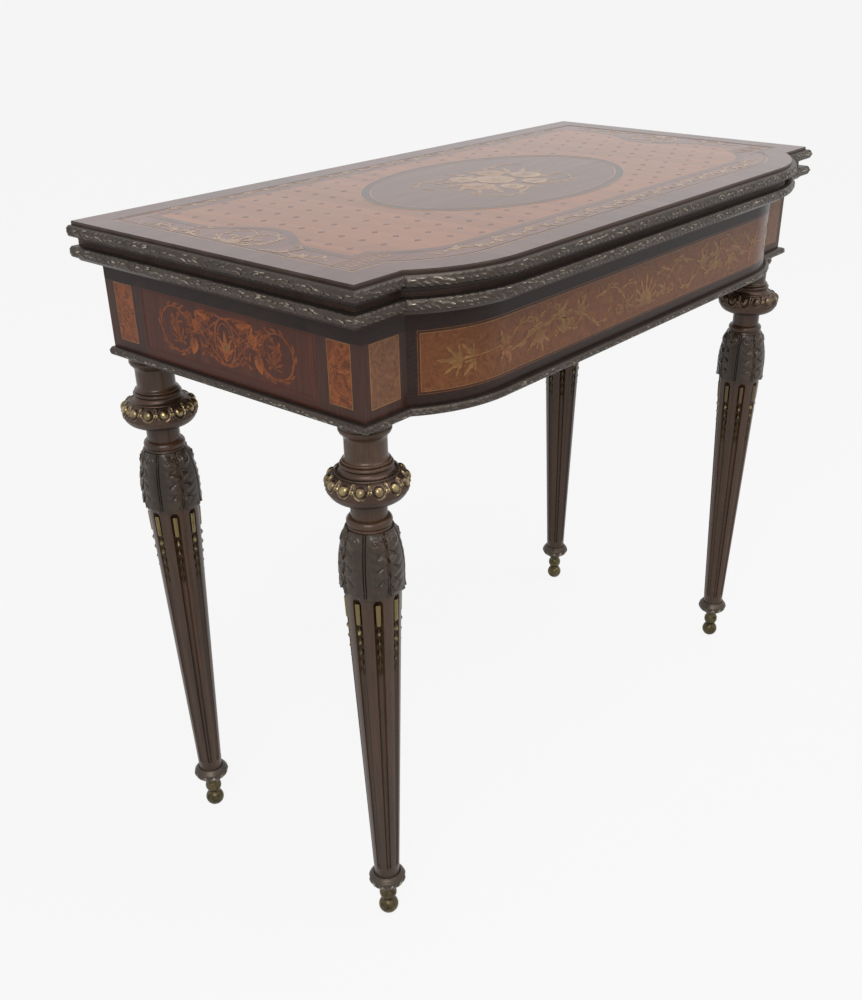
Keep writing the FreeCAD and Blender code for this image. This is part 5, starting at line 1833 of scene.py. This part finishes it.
@dataclass
class Cloths:
    """The baize of the playing faces, the lining of the card well and the felts on the frame."""

    outline: Outline
    border: float = 45.0 * MM
    post_room: float = 0.3 * MM
    roll: float = 0.25 * MM
    flat_from: float = 1.5 * MM
    felt: tuple[float, float] = (12.0 * MM, 120.0 * MM)

    def sheet(self, name: str, edge: np.ndarray, back: float, face: float, finish: Finish, body: str,
              slot: str, replaces: Sequence[str]) -> None:
        """Lay one cloth with softly rolled edges.

        Args:
            name: its name.
            edge: its outline.
            back: height of the side that lies on the wood.
            face: height of the side that shows.
            finish: its cloth.
            body: the body that carries it.
            slot: the record's material slot.
            replaces: nodes that it stands for.
        """
        middle = edge.mean(0)
        inner, flat_edge = (middle + (edge - middle) * (1 - inset / np.abs(edge - middle).max())
                            for inset in (self.roll, self.flat_from))
        rings = [(edge, back), (edge, (back + face) / 2), (inner, face), (flat_edge, face)]
        net = np.stack([np.concatenate([ring, np.full((len(ring), 1), z)], 1) for ring, z in rings])
        made = Surface.net(net).piece(name, finish, body, slot, replaces, 70.0)
        x, y = edge[:, 0], edge[:, 1]
        area = abs(float(np.dot(x, np.roll(y, -1)) - np.dot(y, np.roll(x, -1)))) / 2

    def build(self) -> None:
        """Lay all the cloths."""
        edge = self.outline.polygon(-self.border, -self.border, 14)
        for leaf in ("upper", "lower"):
            low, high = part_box(leaf + "_baize")
            back, face = (low.z, high.z) if leaf == "lower" else (high.z, low.z)
            self.sheet(leaf + "_baize_cloth", edge, back, face, BAIZE, leaf + "_leaf", "baize",
                       [leaf + "_baize"])
        low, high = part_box("well_lining")
        front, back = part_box("front_left_post")[1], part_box("back_left_post")[0]
        inner = front.x + self.post_room
        front_y, back_y = front.y + self.post_room, back.y - self.post_room
        edge = np.array((
            (inner, low.y), (high.x, low.y), (high.x, high.y), (inner, high.y),
            (inner, back_y), (low.x, back_y), (low.x, front_y), (inner, front_y),
        ))
        self.sheet("well_lining_cloth", edge, low.z, high.z, LINING, "frame", "lining", ["well_lining"])
        self.felts()

    def felts(self) -> None:
        """Lay the four felt strips that the leaves slide on."""
        low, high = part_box("glide_felts")
        width, length = self.felt
        rails = {"front": (0.0, -1), "back": (0.0, 1), "left_end": (-1, 0.0), "right_end": (1, 0.0)}
        for rail, (x_way, y_way) in rails.items():
            rail_low, rail_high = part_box(rail + "_rail")
            half = Vector((width, length)) / 2 if x_way else Vector((length, width)) / 2
            middle_x = (low.x if x_way < 0 else high.x) - x_way * half.x if x_way else 0.0
            middle_y = (low.y if y_way < 0 else high.y) - y_way * half.y
            if not y_way:
                middle_y = (rail_low.y + rail_high.y) / 2
            corners = SQUARE * np.array(half) + np.array((middle_x, middle_y))
            self.sheet(rail + "_felt", corners, low.z, high.z, FELT, "frame", "felt", ["glide_felts"])


@dataclass
class Carcase:
    """The construction nodes that keep their own shape and get a finish."""

    by_slot: dict[str, Finish] = field(default_factory=lambda: {
        "rosewood": POSTS, "mahogany": MAHOGANY, "oak": OAK, "brass": BRASS, "iron": IRON,
    })
    by_node: dict[str, Finish] = field(default_factory=lambda: {
        "left_end_rail": RED_ENDS, "right_end_rail": RED_ENDS, "front_rail": DARK_FRONT,
        "upper_leaf": LEAF_EDGES, "lower_leaf": LEAF_EDGES,
    })

    def build(self) -> None:
        """Dress every node that still shows."""
        for row in frame["record"]["subparts"]:
            node, slot = row["node"], row["material_slot"]
            shown = frame["nodes"][node]
            if shown.hide_render:
                continue
            finish = self.by_node.get(node, self.by_slot[slot])
            shown.data.materials.clear()
            shown.data.materials.append(finish.material())
            LOG.info("%s dressed in %s", node, finish.name)


@dataclass
class Studio:
    """Floor, soft light, pale surroundings and the camera."""

    backdrop: Colour = (0.985, 0.985, 0.985)
    sky: Colour = (1.0, 0.985, 0.97)
    sky_strength: float = 0.42
    floor_half: float = 40.0
    floor_greys: tuple[float, float] = (0.58, 0.60)
    floor_glow: float = 0.9
    aim_z: float = 0.5
    eye: Vector = field(default_factory=lambda: Vector((-1.12488, -0.84505, 1.02655)))
    azimuth: float = -51.1125
    elevation: float = 29.413
    roll: float = -0.24676
    lens: float = 41.355
    shift: tuple[float, float] = (-0.0353, 0.0782)

    def seen_directly(self, brush: Brush) -> Signal:
        """Give 1 for rays from the camera, and for mirrored and passed-through ones.

        Args:
            brush: adds the nodes.

        Returns:
            The value.
        """
        seen = [brush.node("ShaderNodeLightPath", {}, {}, name)
                for name in ("Is Camera Ray", "Is Glossy Ray", "Is Transmission Ray")]
        return seen[0].peak(seen[1]).peak(seen[2])

    def world(self) -> None:
        """Surround the table with even, pale light."""
        world = bpy.data.worlds.new("pale_studio")
        bpy.context.scene.world = world
        world.use_nodes = True
        brush = Brush(world.node_tree)
        sky = {"Color": rgba(self.sky), "Strength": self.sky_strength}
        light = brush.node("ShaderNodeBackground", {}, sky)
        shown = brush.node("ShaderNodeBackground", {}, {"Color": rgba(self.backdrop), "Strength": 1.0})
        mixed = brush.node("ShaderNodeMixShader", {}, {0: self.seen_directly(brush), 1: light, 2: shown})
        brush.node("ShaderNodeOutputWorld", {}, {"Surface": mixed})

    def floor(self) -> None:
        """Lay a pale floor that keeps a soft shadow."""
        material, brush = new_brush("pale_floor")
        speckle = brush.noise(brush.place(), 3.0, 2.0)
        dark, light = (rgba((grey, grey, grey)) for grey in self.floor_greys)
        paint = brush.mix(dark, light, speckle)
        matt = brush.node("ShaderNodeBsdfDiffuse", {}, {"Color": paint})
        shown = brush.node("ShaderNodeEmission", {}, {"Color": rgba(self.backdrop), "Strength": 1.0})
        glow = self.seen_directly(brush) * self.floor_glow
        mixed = brush.node("ShaderNodeMixShader", {}, {0: glow, 1: matt, 2: shown})
        brush.node("ShaderNodeOutputMaterial", {}, {"Surface": mixed})
        mesh = bpy.data.meshes.new("floor")
        half = self.floor_half
        mesh.from_pydata([(x * half, y * half, 0) for x, y in SQUARE.tolist()], [], [(0, 1, 2, 3)])
        mesh.materials.append(material)
        floor = bpy.data.objects.new("floor", mesh)
        bpy.context.scene.collection.objects.link(floor)
        floor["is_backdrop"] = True

    def lamp(self, name: str, place: Sequence[float], power: float, size: float) -> None:
        """Hang a soft square lamp that looks at the table.

        Args:
            name: its name.
            place: where it hangs.
            power: its watts.
            size: its side.
        """
        light = bpy.data.lights.new(name, "AREA")
        light.energy = power
        light.size = size
        lamp = bpy.data.objects.new(name, light)
        lamp.location = place
        aim = Vector((0, 0, self.aim_z)) - lamp.location
        lamp.rotation_euler = aim.to_track_quat("-Z", "Y").to_euler()
        bpy.context.scene.collection.objects.link(lamp)

    def camera(self) -> None:
        """Set the camera where the photograph was taken from."""
        turn, rise, roll = (math.radians(angle) for angle in (self.azimuth, self.elevation, self.roll))
        back = Vector((math.sin(turn) * math.cos(rise), -math.cos(turn) * math.cos(rise), math.sin(rise)))
        level = (-back).cross(Vector((0, 0, 1))).normalized()
        upright = level.cross(-back)
        right = level * math.cos(roll) + upright * math.sin(roll)
        up = upright * math.cos(roll) - level * math.sin(roll)
        data = bpy.data.cameras.new("camera")
        data.lens = self.lens
        data.shift_x, data.shift_y = self.shift
        camera = bpy.data.objects.new("camera", data)
        camera.matrix_world = Matrix.Translation(self.eye) @ Matrix((right, up, back)).transposed().to_4x4()
        bpy.context.scene.collection.objects.link(camera)
        bpy.context.scene.camera = camera

    def build(self) -> None:
        """Set up the studio."""
        bpy.context.scene.view_settings.view_transform = "Standard"
        self.world()
        self.floor()
        self.lamp("left_window", (-2.3, -1.5, 2.6), 52.0, 1.6)
        self.lamp("overhead", (0.4, -1.2, 3.2), 44.0, 2.4)
        self.camera()


def main() -> None:
    """Build the pieces in order."""
    logging.basicConfig(level=logging.INFO, format="%(name)s: %(message)s")
    leaf = leaf_outline()
    frieze = frieze_outline(leaf)
    seat, turn = 3.0 * MM, math.radians(8.0)
    mounts = [
        EdgeMount("upper_edge_mount", "upper_leaf", leaf, seat),
        EdgeMount("lower_edge_mount", "lower_leaf", leaf, seat),
        EdgeMount("frieze_mount", "frame", frieze, 0.0, relief=1.5 * MM, pitch=6.2, leaf_drop=0.5,
                  leaf_room=3.4),
    ]
    legs = [Leg(f"{end}_left", turn) for end in ("front", "back")]
    # The right legs wear the darker copies of gilt and flute brass as painted shade.
    legs += [Leg(f"{end}_right", -turn, gilding=SHADED_GILT, bar_brass=SHADED_FLUTE_BRASS)
             for end in ("front", "back")]
    ends = [EndMarquetry("left"), EndMarquetry("right")]
    faces = [TopMarquetry(leaf), *ends, FrontMarquetry(frieze), CornerVeneers(), TopBand(frieze)]
    for part in [*mounts, *faces, *legs, Cloths(leaf), Carcase(), Studio()]:
        LOG.info("building %s", type(part).__name__)
        part.build()
    boxes = {"cad": CAD_BOX, "visual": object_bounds()}
    {name: [list(corner) for corner in box] for name, box in boxes.items()}


if __name__ == "__main__":
    main()
